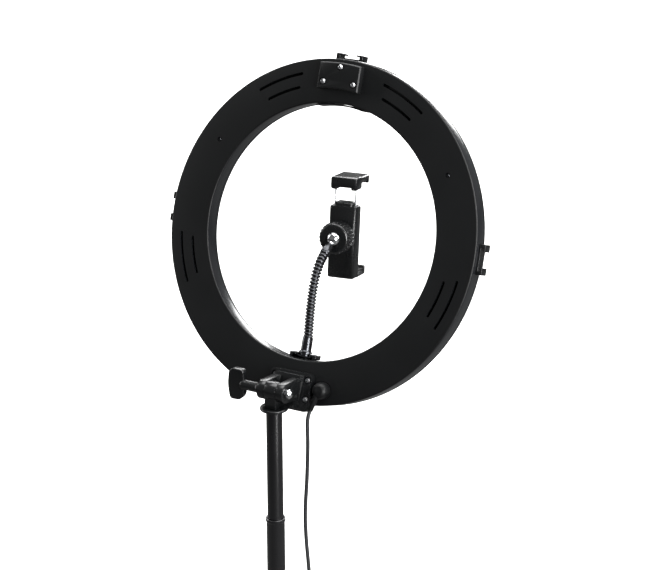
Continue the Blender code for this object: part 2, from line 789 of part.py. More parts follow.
def leg(name, degrees):
    """A flip-out leg with its moulded pivot pin, and the rubber boot on its end."""
    axis = leg_frame(name, degrees)
    half = LEG_WIDTH / 2
    lean = Matrix.Rotation(-LEG_SPREAD, 4, "Y")
    head = rod((0, -half, 0), (0, half, 0), 6.2 * MM, 18)
    body = add(f"leg_{name}", moved(head, lean), axis, BLACK, 0.42, 0.1)
    end = LEG_LENGTH - 7 * MM
    bar = box((-LEG_DEPTH / 2, -half, -end), (LEG_DEPTH / 2, half, 0), 1.2 * MM)
    pin = rod((0, -half - 3.6 * MM, 0), (0, half + 3.6 * MM, 0), LEG_PIN_R, 12)
    join(body, moved(bar, lean), moved(pin, lean))
    boot_half = half + 1.8 * MM
    boot = box(
        (-LEG_DEPTH / 2 - 2 * MM, -boot_half, -LEG_LENGTH - 7 * MM),
        (LEG_DEPTH / 2 + 2 * MM, boot_half, -LEG_LENGTH + 24 * MM),
        1.6 * MM,
    )
    foot = add(f"foot_{name}", moved(boot, lean), axis, RUBBER, 0.75)
    pocket = box(
        (-LEG_DEPTH / 2 - GAP, -half - GAP, -end - GAP),
        (LEG_DEPTH / 2 + GAP, half + GAP, -LEG_LENGTH + 40 * MM),
    )
    floor = -LEG_PIVOT_Z
    under = box((0, -30 * MM, floor - 40 * MM), (400 * MM, 30 * MM, floor))
    cut(foot, moved(pocket, lean), under)


# ---------------------------------------------------------------- flexible arm and clamp


def ring_point(v, n):
    """A point of the ring's middle plane from millimetres up and out of the back."""
    return Vector((0, v * MM, n * MM))


def arm_curve(t):
    """The bent line of the flexible arm, from its foot at t = 0 to its top at t = 1."""
    p = [ring_point(*q) for q in (ARM_BASE, ARM_RISE, ARM_BEND, ARM_END)]
    s = 1 - t
    return s**3 * p[0] + 3 * s**2 * t * p[1] + 3 * s * t**2 * p[2] + t**3 * p[3]


FLEX_STRETCHES = {"lower": (0.0, 0.34), "middle": (0.38, 0.68), "upper": (0.72, 1.0)}
ARM_DIRECTION = (ring_point(*ARM_BALL) - ring_point(*ARM_END)).normalized()


def flexible_arm():
    """Foot, ferrules, the arm in three stretches, and the chrome ball."""
    base_v = ARM_BASE[0] * MM - 1.0 * MM
    profile = [
        (3.0 * MM, base_v),
        (FERRULE_R, base_v - 1.2 * MM),
        (FERRULE_R, -104 * MM),
        (6.0 * MM, -104.6 * MM),
        (6.0 * MM, -106.0 * MM),
        (4.4 * MM, -106.0 * MM),
        (4.4 * MM, -109 * MM),
        (0, -109 * MM),
        (0, base_v),
    ]
    upright = Matrix.Translation((0, 0, ARM_BASE[1] * MM)) @ Matrix.Rotation(math.radians(-90), 4, "X")
    foot = add("arm_ferrule", moved(turned(profile, 18), upright), RING, BLACK, 0.25, 0.6)
    slot_floor = -(RING_INNER_R - GAP - SHOE_BASE - GAP)
    join(foot, box((-9.1 * MM, slot_floor, -7.6 * MM), (9.1 * MM, slot_floor + 1.6 * MM, 1.8 * MM)))
    for name, (start, end) in FLEX_STRETCHES.items():
        points = [arm_curve(start + (end - start) * i / 6) for i in range(7)]
        add(f"flex_{name}", tube(points, ARM_R, 1), RING, BLACK, 0.3, 0.6)
    start = ring_point(*ARM_END) + ARM_DIRECTION * 0.6 * MM
    end = start + ARM_DIRECTION * 9.6 * MM
    add("ferrule_upper", rod(start, end, FERRULE_R, 16, 3.9 * MM), RING, BLACK, 0.25, 0.6)
    ball = turned([(BALL_R * math.cos(a), BALL_R * math.sin(a)) for a in half_turn(10)], 18, closed=False)
    stud = add("ball_stud", moved(ball, Matrix.Translation(ring_point(*ARM_BALL))), RING, CHROME, 0.08, 1.0)
    join(stud, rod(end + ARM_DIRECTION * GAP, ring_point(*ARM_BALL) - ARM_DIRECTION * 3 * MM, 2.6 * MM, 14))


def half_turn(steps):
    """Angles from the top of a ball to its bottom."""
    return [math.radians(90 - 180 * i / steps) for i in range(steps + 1)]


BALL_WORLD = RING_WORLD @ ring_point(*ARM_BALL)
CLAMP_WORLD = (
    Matrix.Translation(BALL_WORLD)
    @ Matrix.Rotation(CLAMP_TURN, 4, "Z")
    @ Matrix.Rotation(CLAMP_LEAN, 4, "X")
)
CLAMP = frame("ball_axis", RING, RING_WORLD.inverted() @ CLAMP_WORLD)
FORWARD = Matrix.Rotation(math.radians(-90), 4, "X")
SEAT_R = BALL_R + GAP


def clamp():
    """Ball seat, lock ring, clamp body, two rods and the sprung upper jaw."""
    sphere = [
        (SEAT_R * math.cos(a), SEAT_R * math.sin(a))
        for a in (math.radians(90 - 75 * i / 7) for i in range(8))
    ]
    seat = [(0, 11.4 * MM), (9.0 * MM, 11.4 * MM), (9.0 * MM, 1.8 * MM)] + sphere[::-1]
    add("ball_seat", moved(turned(seat, 24), FORWARD), CLAMP, BLACK, 0.5)
    lip = [(SEAT_R * math.cos(a), SEAT_R * math.sin(a)) for a in (0, math.radians(-13), math.radians(-26))]
    ring = [
        (14.3 * MM, 12.4 * MM),
        (14.3 * MM, -2.2 * MM),
        (13.4 * MM, -3.0 * MM),
        *lip[::-1],
        (SEAT_R, 1.1 * MM),
        (11.9 * MM, 1.1 * MM),
        (11.9 * MM, 12.4 * MM),
    ]
    add("lock_ring", moved(turned(ring, 24), FORWARD), CLAMP, BLACK, 0.45)

    shell = box(
        (-CLAMP_HALF_WIDTH, CLAMP_BACK, CLAMP_BOTTOM),
        (CLAMP_HALF_WIDTH, CLAMP_FRONT, CLAMP_TOP),
        2.2 * MM,
        2,
    )
    body = add("clamp_body", shell, CLAMP, BLACK, 0.36)
    rib = box((-8 * MM, CLAMP_BACK + 1.5 * MM, 0), (8 * MM, CLAMP_FRONT - 1.5 * MM, 28.8 * MM), 0.8 * MM)
    lip_reach = 49.5 * MM
    shelf = box(
        (-CLAMP_HALF_WIDTH, CLAMP_FRONT - 4 * MM, CLAMP_BOTTOM),
        (CLAMP_HALF_WIDTH, lip_reach, CLAMP_BOTTOM + 4.4 * MM),
        1 * MM,
    )
    hook = box(
        (-CLAMP_HALF_WIDTH, lip_reach - 3 * MM, CLAMP_BOTTOM + MM),
        (CLAMP_HALF_WIDTH, lip_reach, CLAMP_BOTTOM + 8 * MM),
        1 * MM,
    )
    socket = rod((0, 1.6 * MM, 0), (0, CLAMP_BACK + 3 * MM, 0), 11.5 * MM, 28)
    join(body, rib, shelf, hook, socket)
    cut(body, rod((0, -5 * MM, 0), (0, 12 * MM, 0), 9.35 * MM, 28))
    for side in (-1, 1):
        bore = rod((side * ROD_X, ROD_Y, -33 * MM), (side * ROD_X, ROD_Y, 40 * MM), ROD_R + 0.35 * MM, 12)
        cut(body, bore)
    pad = box(
        (-11 * MM, 36.2 * MM, CLAMP_BOTTOM + 4.7 * MM),
        (11 * MM, lip_reach - 3.4 * MM, CLAMP_BOTTOM + 5.7 * MM),
    )
    add("lower_pad", pad, CLAMP, RUBBER, 0.8)

    block = box(
        (-CLAMP_HALF_WIDTH, CLAMP_BACK - 0.4 * MM, JAW_BOTTOM),
        (CLAMP_HALF_WIDTH, CLAMP_FRONT, JAW_TOP),
        2.2 * MM,
        2,
    )
    jaw = add("upper_jaw", block, CLAMP, BLACK, 0.36)
    roof = box(
        (-CLAMP_HALF_WIDTH, CLAMP_FRONT - 4 * MM, 46.2 * MM),
        (CLAMP_HALF_WIDTH, JAW_REACH, JAW_TOP - 0.6 * MM),
        1 * MM,
    )
    nose = box(
        (-CLAMP_HALF_WIDTH, JAW_REACH - 3 * MM, 43 * MM),
        (CLAMP_HALF_WIDTH, JAW_REACH, JAW_TOP - MM),
        1 * MM,
    )
    join(jaw, roof, nose)
    cut(jaw, box((-7.2 * MM, 0, 30 * MM), (7.2 * MM, CLAMP_FRONT + MM, 42.4 * MM)))
    pad = box((-11 * MM, CLAMP_FRONT + 0.6 * MM, 44.9 * MM), (11 * MM, JAW_REACH - 3.4 * MM, 45.9 * MM))
    add("upper_pad", pad, CLAMP, RUBBER, 0.8)
    for side, name in ((-1, "left"), (1, "right")):
        x = side * ROD_X
        cut(jaw, rod((x, ROD_Y, 30 * MM), (x, ROD_Y, 47 * MM), ROD_R + 0.3 * MM, 12))
        bar = rod((x, ROD_Y, -18 * MM), (x, ROD_Y, 46.6 * MM), ROD_R, 10)
        add(f"rod_{name}", bar, CLAMP, CHROME, 0.1, 1.0)


# ---------------------------------------------------------------- cable


def cord_stretches():
    """The cable from the gland to the control box, divided where each joint's share ends."""
    route = [Vector(p) * MM for p in CORD_ROUTE]
    start = RING_WORLD @ CORD_EXIT
    points = smooth_route([start] + route[1:], CORD_SPACING)
    limits = (math.inf, *CORD_CUTS, -math.inf)
    names = ("tilt", "pan", "upper", "lower")
    for name, high, low in zip(names, limits, limits[1:]):
        inside = [p for p in points if low < p.z < high]
        if math.isfinite(high):
            inside.insert(0, crossing(points, high - GAP / 2))
        if math.isfinite(low):
            inside.append(crossing(points, low + GAP / 2))
        add(f"cord_{name}", tube(inside, CORD_R, 1), ROOT, BLACK, 0.5)


def cord_tail():
    """The cable from the control box round to the coil."""
    points = smooth_route([Vector(p) * MM for p in TAIL_ROUTE], CORD_SPACING)
    add("cord_tail", tube(points, CORD_R, 1), ROOT, BLACK, 0.5)


def crossing(points, height):
    """The point where a falling route passes a height."""
    for a, b in zip(points, points[1:]):
        if a.z >= height > b.z:
            return a.lerp(b, (a.z - height) / (a.z - b.z))
    raise ValueError("the route doesn't pass that height")


def coil_and_tie():
    """The stored length as one ring, and the strap round it."""
    low, high = COIL_BOTTOM, COIL_BOTTOM + COIL_HEIGHT
    outer, inner = COIL_MEAN_R + COIL_HALF_WIDTH, COIL_MEAN_R - COIL_HALF_WIDTH
    edge = 1.4 * MM
    profile = [
        (outer - edge, high),
        (outer, high - edge),
        (outer, low + edge),
        (outer - edge, low),
        (inner + edge, low),
        (inner, low + edge),
        (inner, high - edge),
        (inner + edge, high),
    ]
    place = Matrix.Translation((*COIL_CENTRE, 0))
    add("cord_coil", moved(turned(profile, 28), place), LAY, BLACK, 0.5)
    strap = 0.8 * MM
    middle = low + COIL_HEIGHT / 2
    half_w, half_h = COIL_HALF_WIDTH + 0.8 * MM, COIL_HEIGHT / 2 + GAP
    width = 6 * MM
    solid = box(
        (COIL_MEAN_R - half_w - strap, -width / 2, middle - half_h - strap),
        (COIL_MEAN_R + half_w + strap, width / 2, middle + half_h + strap),
    )
    turn = place @ Matrix.Rotation(math.radians(160), 4, "Z")
    tie = add("cord_tie", moved(solid, turn), LAY, RUBBER, 0.7)
    hole = box(
        (COIL_MEAN_R - half_w, -width, middle - half_h),
        (COIL_MEAN_R + half_w, width, middle + half_h),
    )
    cut(tie, moved(hole, turn))


def control_box():
    """The in-line control box lying on the floor, with its three buttons."""
    x, y = BOX_CENTRE
    half_x, half_y = BOX_SIZE[0] / 2, BOX_SIZE[1] / 2
    top = BOX_SIZE[2]
    shell = box((x - half_x, y - half_y, 0), (x + half_x, y + half_y, top), 2.4 * MM, 2)
    case = add("remote_case", shell, LAY, BLACK, 0.45)
    for index, name in enumerate(BUTTONS):
        place = y + (1 - index) * BUTTON_PITCH
        cut(case, rod((x, place, top - 3.4 * MM), (x, place, top + MM), BUTTON_R + GAP, 18))
        cap = turned(
            [
                (0, top + 1.2 * MM),
                (BUTTON_R - 0.8 * MM, top + 1.1 * MM),
                (BUTTON_R, top + 0.4 * MM),
                (BUTTON_R, top - 2 * MM),
                (0, top - 2 * MM),
            ],
            18,
            closed=False,
        )
        add(f"button_{name}", moved(cap, Matrix.Translation((x, place, 0))), LAY, (0.06, 0.06, 0.06), 0.5)


def plug():
    """The plug beside the coil: a moulded grip and its metal shell."""
    x, start = COIL_CENTRE[0] + COIL_MEAN_R + 2 * CORD_R, COIL_CENTRE[1] + 24 * MM
    half = 4 * MM
    near, far = start + 9 * MM, start + 31 * MM
    grip = box((x - 7.5 * MM, near, 0), (x + 7.5 * MM, far, 2 * half), 1.6 * MM)
    body = add("plug_body", grip, LAY, BLACK, 0.5)
    join(body, rod((x, near + MM, half), (x, start, half + 0.8 * MM), 3.0 * MM, 12, 2.1 * MM))
    far += GAP
    tip = far + 12 * MM
    sleeve = box((x - 6 * MM, far, half - 2.25 * MM), (x + 6 * MM, tip, half + 2.25 * MM))
    shell = add("plug_shell", sleeve, LAY, STEEL, 0.25, 1.0)
    cut(shell, box((x - 5.6 * MM, far + 2 * MM, half - 0.2 * MM), (x + 5.6 * MM, tip + MM, half + 1.85 * MM)))


def build():
    rear_cover()
    front_diffuser()
    led_board()
    top_pad()
    cold_shoes()
    inner_pad()
    cable_gland()
    tilt_bracket()
    tilt_block()
    tilt_bolt_and_knob()
    mast()
    leg_hub()
    for name, degrees in LEG_ANGLES.items():
        leg(name, degrees)
    flexible_arm()
    clamp()
    cord_stretches()
    cord_tail()
    coil_and_tie()
    control_box()
    plug()


build()
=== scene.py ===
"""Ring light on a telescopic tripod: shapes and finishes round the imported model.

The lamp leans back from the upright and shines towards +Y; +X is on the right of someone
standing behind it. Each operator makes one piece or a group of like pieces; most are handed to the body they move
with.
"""

import json
import math

import bmesh
import bpy
from mathutils import Matrix, Vector


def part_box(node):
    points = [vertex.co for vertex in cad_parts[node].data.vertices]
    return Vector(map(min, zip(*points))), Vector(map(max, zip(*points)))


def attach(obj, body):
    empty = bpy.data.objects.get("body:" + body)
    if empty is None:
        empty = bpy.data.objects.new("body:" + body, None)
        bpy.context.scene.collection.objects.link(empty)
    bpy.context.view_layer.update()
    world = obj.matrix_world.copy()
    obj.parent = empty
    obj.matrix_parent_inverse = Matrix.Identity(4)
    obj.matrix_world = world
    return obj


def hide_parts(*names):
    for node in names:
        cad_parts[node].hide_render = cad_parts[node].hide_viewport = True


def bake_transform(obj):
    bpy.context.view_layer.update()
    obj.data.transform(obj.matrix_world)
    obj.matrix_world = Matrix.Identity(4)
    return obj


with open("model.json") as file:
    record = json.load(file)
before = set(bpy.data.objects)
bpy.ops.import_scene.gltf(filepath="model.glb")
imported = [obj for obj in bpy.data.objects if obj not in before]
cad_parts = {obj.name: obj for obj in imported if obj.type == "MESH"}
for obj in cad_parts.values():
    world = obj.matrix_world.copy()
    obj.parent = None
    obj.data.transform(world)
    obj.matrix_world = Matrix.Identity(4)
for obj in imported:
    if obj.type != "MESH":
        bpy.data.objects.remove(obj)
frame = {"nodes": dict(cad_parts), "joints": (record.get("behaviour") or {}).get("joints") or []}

bl_info = {
    "name": "Ring light",
    "version": (1, 0, 0),
    "blender": (4, 5, 0),
    "location": "3D View > Sidebar > Ring light",
    "description": "Builds a ring lamp on a tripod with a phone clamp on a flexible arm",
    "category": "Object",
}

MM = 0.001
NODES = frame["nodes"]
JOINTS = {joint["name"]: joint for joint in frame["joints"]}
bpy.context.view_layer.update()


# ---------------------------------------------------------------- colours and user settings


def linear(code, alpha=1.0):
    """An sRGB hex colour as linear RGBA."""
    parts = [int(code[i : i + 2], 16) / 255 for i in (0, 2, 4)]
    parts = [p / 12.92 if p <= 0.04045 else ((p + 0.055) / 1.055) ** 2.4 for p in parts]
    return (*parts, alpha)


def length_property(name, description, default):
    return bpy.props.FloatProperty(
        name=name, description=description, default=default, min=0, unit="LENGTH", subtype="DISTANCE"
    )


def colour_property(name, description, code):
    return bpy.props.FloatVectorProperty(
        name=name,
        description=description,
        default=linear(code)[:3],
        size=3,
        min=0,
        max=1,
        subtype="COLOR",
    )


class RingLightSizes(bpy.types.PropertyGroup):
    """Sizes of the details. The pieces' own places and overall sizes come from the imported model."""

    rib_pitch: length_property("Arm rib pitch", "Distance between two turns of the arm's winding", 2.9 * MM)
    rib_radius: length_property("Arm rib radius", "Half of the thickness of the arm's round wire", 1.15 * MM)
    arm_radius: length_property("Arm radius", "Outer radius of the flexible arm", 4.4 * MM)
    cord_diameter: length_property("Cable diameter", "Outer diameter of the supply cable", 3.5 * MM)
    edge: length_property("Moulded edge", "Rounding of the edges of moulded pieces", 0.45 * MM)
    slot_width: length_property("Vent width", "Width of the vent slots in the back", 2.6 * MM)
    screw_radius: length_property("Screw head radius", "Radius of the bright screw heads", 2.75 * MM)
    led_count: bpy.props.IntProperty(
        name="Lamps in a row", description="Lamps in each ring of the board", default=60, min=8
    )
    knurl_count: bpy.props.IntProperty(
        name="Lock ring grips", description="Grips round the lock ring", default=26, min=6
    )


class RingLightColours(bpy.types.PropertyGroup):
    """Colours of the finishes."""

    shell: colour_property("Shell", "Satin moulded back of the ring", "0A0B0C")
    fittings: colour_property("Fittings", "Glossier moulded bracket, knob and clamp", "0D0E0F")
    tubes: colour_property("Tubes", "Lacquer of the mast and the legs", "0B0B0D")
    arm: colour_property("Arm", "Dark plating of the flexible arm", "4A4B4E")
    bright: colour_property("Bright metal", "Chromed ball, rods and bolt", "E4E5E7")
    zinc: colour_property("Screws", "Zinc-plated screw heads", "C9CACC")
    diffuser: colour_property("Diffuser", "Opal front of the ring", "F3F1EA")
    board: colour_property("Board", "Solder mask of the circuit board", "EDEDE8")
    lamp: colour_property("Lamp", "Phosphor of each lamp", "F2D24A")
    cable: colour_property("Cable", "Jacket of the supply cable", "2A2B2D")
    rubber: colour_property("Rubber", "Feet, pads and strap", "131314")
    rim: colour_property("Rim", "Polished inner and outer walls of the ring", "17181A")
    keys: colour_property("Keys", "Keys of the control box", "2A2B2E")
    floor: colour_property("Floor", "Paper floor of the stage", "F4F4F3")


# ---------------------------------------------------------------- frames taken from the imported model

RING_LEAN = math.radians(18.86)
RING_CENTRE_FROM_TILT = Vector((0, 138.8 * MM, -42.4 * MM))
RING = (
    Matrix.Translation(JOINTS["tilt"]["pos_m"])
    @ Matrix.Rotation(math.radians(90) - RING_LEAN, 4, "X")
    @ Matrix.Translation(RING_CENTRE_FROM_TILT)
)
TILT = Matrix.Translation(JOINTS["tilt"]["pos_m"])
MAST_Y = JOINTS["pan"]["pos_m"][1]
LAY = Matrix.Translation((0, MAST_Y, 0)) @ Matrix.Rotation(math.radians(30), 4, "Z")


def clamp_frame():
    """The phone clamp's own frame: y forward out of the ball, z up along the rods."""
    y = Vector(JOINTS["clamp_turn"]["axis"])
    z = Vector(JOINTS["jaw_slide"]["axis"])
    turn = Matrix((y.cross(z), y, z)).transposed().to_4x4()
    return Matrix.Translation(JOINTS["clamp_turn"]["pos_m"]) @ turn


CLAMP = clamp_frame()
FORWARD = Matrix.Rotation(math.radians(-90), 4, "X")


# ---------------------------------------------------------------- nodes and finishes


def add_node(tree, kind, links=None, **settings):
    """A node with its settings, and its inputs given as values or as sockets to link from."""
    node = tree.nodes.new(kind)
    for key, value in settings.items():
        setattr(node, key, value)
    for key, value in (links or {}).items():
        if isinstance(value, bpy.types.NodeSocket):
            tree.links.new(value, node.inputs[key])
        else:
            node.inputs[key].default_value = value
    return node


def start_finish(name, colour, roughness, metallic=0.0, **more):
    """A material with its Principled shader, and a vector in the object's own coordinates."""
    mat = bpy.data.materials.new(name)
    mat.use_nodes = True
    tree = mat.node_tree
    shader = tree.nodes["Principled BSDF"]
    shader.inputs["Base Color"].default_value = (*colour[:3], 1)
    shader.inputs["Roughness"].default_value = roughness
    shader.inputs["Metallic"].default_value = metallic
    for key, value in more.items():
        shader.inputs[key].default_value = value
    place = add_node(tree, "ShaderNodeTexCoord").outputs["Object"]
    return mat, tree, shader, place


def add_variation(tree, shader, pattern, colour, low, high, rough_low, rough_high):
    """Colour and roughness that wander a little with a pattern between two shades of one colour."""
    ramp = add_node(
        tree,
        "ShaderNodeMix",
        {
            "Factor": pattern,
            6: (*[c * low for c in colour[:3]], 1),
            7: (*[min(1, c * high) for c in colour[:3]], 1),
        },
        data_type="RGBA",
    )
    tree.links.new(ramp.outputs[2], shader.inputs["Base Color"])
    rough = add_node(tree, "ShaderNodeMapRange", {"Value": pattern, "To Min": rough_low, "To Max": rough_high})
    tree.links.new(rough.outputs["Result"], shader.inputs["Roughness"])


def add_bump(tree, shader, height, distance, strength):
    bump = add_node(
        tree, "ShaderNodeBump", {"Height": height, "Distance": distance, "Strength": strength}
    )
    tree.links.new(bump.outputs["Normal"], shader.inputs["Normal"])


def scale_for(millimetres):
    """Texture scale that gives a feature of about that size."""
    return 1000 / millimetres


def spark_textured_abs(colour):
    """ABS moulded in a spark-eroded tool: an even satin black with a fine grain. The real grain is about 0.15 mm,
    too fine to show, so it is drawn at 0.6 mm."""
    mat, tree, shader, place = start_finish("spark_textured_abs", colour, 0.42, IOR=1.53)
    shader.inputs["Specular IOR Level"].default_value = 0.3
    grain = add_node(
        tree, "ShaderNodeTexNoise", {"Vector": place, "Scale": scale_for(0.6), "Detail": 3.0, "Roughness": 0.6}
    )
    cloud = add_node(tree, "ShaderNodeTexNoise", {"Vector": place, "Scale": scale_for(60), "Detail": 2.0})
    add_variation(tree, shader, cloud.outputs["Fac"], colour, 0.82, 1.25, 0.38, 0.47)
    add_bump(tree, shader, grain.outputs["Fac"], 0.06 * MM, 0.5)
    return mat


def smooth_moulded_nylon(colour):
    """Glass-filled nylon from a polished tool: darker and glossier than the shell, with slow sink ripples
    about 9 mm across."""
    mat, tree, shader, place = start_finish("smooth_moulded_nylon", colour, 0.26, IOR=1.53)
    sink = add_node(tree, "ShaderNodeTexNoise", {"Vector": place, "Scale": scale_for(9), "Detail": 1.0})
    cloud = add_node(tree, "ShaderNodeTexNoise", {"Vector": place, "Scale": scale_for(22), "Detail": 3.0})
    add_variation(tree, shader, cloud.outputs["Fac"], colour, 0.8, 1.3, 0.2, 0.33)
    add_bump(tree, shader, sink.outputs["Fac"], 0.12 * MM, 0.35)
    return mat


def polished_abs(colour):
    """ABS from a polished part of the same tool: the ring's walls, with a clear shine over a slow ripple at 30 mm."""
    mat, tree, shader, place = start_finish("polished_abs", colour, 0.2, IOR=1.53)
    ripple = add_node(tree, "ShaderNodeTexNoise", {"Vector": place, "Scale": scale_for(30), "Detail": 1.0})
    add_variation(tree, shader, ripple.outputs["Fac"], colour, 0.85, 1.2, 0.15, 0.26)
    add_bump(tree, shader, ripple.outputs["Fac"], 0.3 * MM, 0.25)
    return mat


def lacquered_tube(colour):
    """Drawn tube under black lacquer: long faint draw lines about 1 mm apart along the tube, and a clear gloss."""
    mat, tree, shader, place = start_finish("lacquered_tube", colour, 0.24, IOR=1.5)
    shader.inputs["Coat Weight"].default_value = 0.6
    shader.inputs["Coat Roughness"].default_value = 0.09
    along = add_node(tree, "ShaderNodeMapping", {"Vector": place, "Scale": (1, 1, 0.02)})
    lines = add_node(
        tree,
        "ShaderNodeTexNoise",
        {"Vector": along.outputs["Vector"], "Scale": scale_for(1.0), "Detail": 2.0},
    )
    cloud = add_node(tree, "ShaderNodeTexNoise", {"Vector": place, "Scale": scale_for(45), "Detail": 2.0})
    add_variation(tree, shader, cloud.outputs["Fac"], colour, 0.85, 1.2, 0.2, 0.3)
    add_bump(tree, shader, lines.outputs["Fac"], 0.03 * MM, 0.3)
    return mat


def black_plated_steel(colour):
    """Steel strip wound and plated dark: metal that goes nearly black between its highlights, a little rubbed
    on the crests."""
    mat, tree, shader, place = start_finish("black_plated_steel", colour, 0.2, 1.0)
    rub = add_node(
        tree, "ShaderNodeTexNoise", {"Vector": place, "Scale": scale_for(3), "Detail": 4.0, "Roughness": 0.65}
    )
    add_variation(tree, shader, rub.outputs["Fac"], colour, 0.55, 1.5, 0.14, 0.3)
    return mat


def polished_chrome(colour):
    """Chromium plate over polished steel: a mirror with hairline rubs about 0.5 mm apart."""
    mat, tree, shader, place = start_finish("polished_chrome", colour, 0.07, 1.0)
    hair = add_node(
        tree,
        "ShaderNodeTexNoise",
        {"Vector": place, "Scale": scale_for(0.5), "Detail": 4.0, "Distortion": 0.6},
    )
    add_variation(tree, shader, hair.outputs["Fac"], colour, 0.92, 1.05, 0.05, 0.13)
    return mat


def zinc_plate(colour):
    """Bright zinc on pressed screws: a softer, greyer shine than chrome, mottled at about 1 mm."""
    mat, tree, shader, place = start_finish("zinc_plate", colour, 0.28, 1.0)
    mottle = add_node(tree, "ShaderNodeTexVoronoi", {"Vector": place, "Scale": scale_for(1.1)})
    add_variation(tree, shader, mottle.outputs["Distance"], colour, 0.8, 1.05, 0.2, 0.38)
    return mat


def opal_acrylic(colour):
    """Opal acrylic sheet: milky, lit through its own thickness, with a soft sheen and a frosted face at 0.5 mm."""
    mat, tree, shader, place = start_finish("opal_acrylic", colour, 0.38, IOR=1.49)
    shader.inputs["Subsurface Weight"].default_value = 0.35
    shader.inputs["Subsurface Radius"].default_value = (0.004, 0.004, 0.0035)
    shader.inputs["Subsurface Scale"].default_value = 1.0
    frost = add_node(tree, "ShaderNodeTexNoise", {"Vector": place, "Scale": scale_for(0.5), "Detail": 2.0})
    cloud = add_node(tree, "ShaderNodeTexNoise", {"Vector": place, "Scale": scale_for(80), "Detail": 2.0})
    add_variation(tree, shader, cloud.outputs["Fac"], colour, 0.96, 1.03, 0.34, 0.42)
    add_bump(tree, shader, frost.outputs["Fac"], 0.03 * MM, 0.4)
    return mat


def solder_mask(colour):
    """White solder mask over copper: an even enamel-like gloss with tracks showing as a faint weave at 4 mm."""
    mat, tree, shader, place = start_finish("solder_mask", colour, 0.32, IOR=1.5)
    tracks = add_node(tree, "ShaderNodeTexBrick", {"Vector": place, "Scale": scale_for(8)})
    add_bump(tree, shader, tracks.outputs["Fac"], 0.05 * MM, 0.4)
    cloud = add_node(tree, "ShaderNodeTexNoise", {"Vector": place, "Scale": scale_for(15), "Detail": 2.0})
    add_variation(tree, shader, cloud.outputs["Fac"], colour, 0.93, 1.03, 0.28, 0.36)
    return mat


def lamp_phosphor(colour):
    """Cast silicone with yellow phosphor over each lamp: soft and slightly grainy at 0.3 mm."""
    mat, tree, shader, place = start_finish("lamp_phosphor", colour, 0.3, IOR=1.41)
    grain = add_node(tree, "ShaderNodeTexNoise", {"Vector": place, "Scale": scale_for(0.3), "Detail": 2.0})
    add_variation(tree, shader, grain.outputs["Fac"], colour, 0.85, 1.08, 0.25, 0.36)
    return mat


def pvc_jacket(colour):
    """Extruded PVC: smooth, slightly shiny, with a slow waviness along the cable at about 12 mm."""
    mat, tree, shader, place = start_finish("pvc_jacket", colour, 0.36, IOR=1.53)
    wave = add_node(tree, "ShaderNodeTexNoise", {"Vector": place, "Scale": scale_for(12), "Detail": 1.0})
    add_variation(tree, shader, wave.outputs["Fac"], colour, 0.85, 1.25, 0.3, 0.42)
    add_bump(tree, shader, wave.outputs["Fac"], 0.15 * MM, 0.3)
    return mat


def moulded_rubber(colour):
    """Compression-moulded rubber: dead matt, dusty in the hollows, with a pitted face at about 0.8 mm."""
    mat, tree, shader, place = start_finish("moulded_rubber", colour, 0.78, IOR=1.52)
    pits = add_node(
        tree, "ShaderNodeTexNoise", {"Vector": place, "Scale": scale_for(0.8), "Detail": 3.0, "Roughness": 0.7}
    )
    dust = add_node(tree, "ShaderNodeTexNoise", {"Vector": place, "Scale": scale_for(14), "Detail": 3.0})
    add_variation(tree, shader, dust.outputs["Fac"], colour, 0.8, 1.6, 0.7, 0.88)
    add_bump(tree, shader, pits.outputs["Fac"], 0.1 * MM, 0.5)
    return mat


def silicone_key(colour):
    """Silicone keys: softer and paler than the box round them, with a velvety bloom."""
    mat, tree, shader, place = start_finish("silicone_key", colour, 0.6, IOR=1.41)
    shader.inputs["Sheen Weight"].default_value = 0.2
    bloom = add_node(tree, "ShaderNodeTexNoise", {"Vector": place, "Scale": scale_for(2), "Detail": 3.0})
    add_variation(tree, shader, bloom.outputs["Fac"], colour, 0.9, 1.15, 0.55, 0.68)
    return mat


def backdrop_paper(colour):
    """Seamless background paper: pale and matt. It shows much darker in the object's reflections than it is, as if
    black cloth lay round the object just outside the view."""
    mat, tree, shader, _ = start_finish("backdrop_paper", colour, 0.9)
    shader.inputs["Specular IOR Level"].default_value = 0.0
    path = add_node(tree, "ShaderNodeLightPath")
    seen = add_node(
        tree,
        "ShaderNodeMix",
        {"Factor": path.outputs["Is Camera Ray"], 6: linear("505050"), 7: (*colour[:3], 1)},
        data_type="RGBA",
    )
    tree.links.new(seen.outputs[2], shader.inputs["Base Color"])
    return mat


FINISHES = {
    "shell": spark_textured_abs,
    "fittings": smooth_moulded_nylon,
    "rim": polished_abs,
    "tubes": lacquered_tube,
    "arm": black_plated_steel,
    "bright": polished_chrome,
    "zinc": zinc_plate,
    "diffuser": opal_acrylic,
    "board": solder_mask,
    "lamp": lamp_phosphor,
    "cable": pvc_jacket,
    "rubber": moulded_rubber,
    "keys": silicone_key,
    "floor": backdrop_paper,
}
MADE = {}


def finish(name):
    """The finish of that name, made once in the colour that the user set."""
    if name not in MADE:
        colour = getattr(bpy.context.scene.ring_light_colours, name)
        MADE[name] = FINISHES[name](tuple(colour))
    return MADE[name]


# ---------------------------------------------------------------- meshes


def from_bmesh(bm, name="shape"):
    mesh = bpy.data.meshes.new(name)
    bm.to_mesh(mesh)
    bm.free()
    return mesh


def merged(mesh):
    """Doubles merged and faces turned outwards."""
    bm = bmesh.new()
    bm.from_mesh(mesh)
    bmesh.ops.remove_doubles(bm, verts=bm.verts, dist=1e-6)
    bmesh.ops.recalc_face_normals(bm, faces=bm.faces)
    bm.to_mesh(mesh)
    bm.free()
    return mesh


def smooth(mesh, degrees=35):
    mesh.shade_smooth()
    mesh.set_sharp_from_angle(angle=math.radians(degrees))
    return mesh


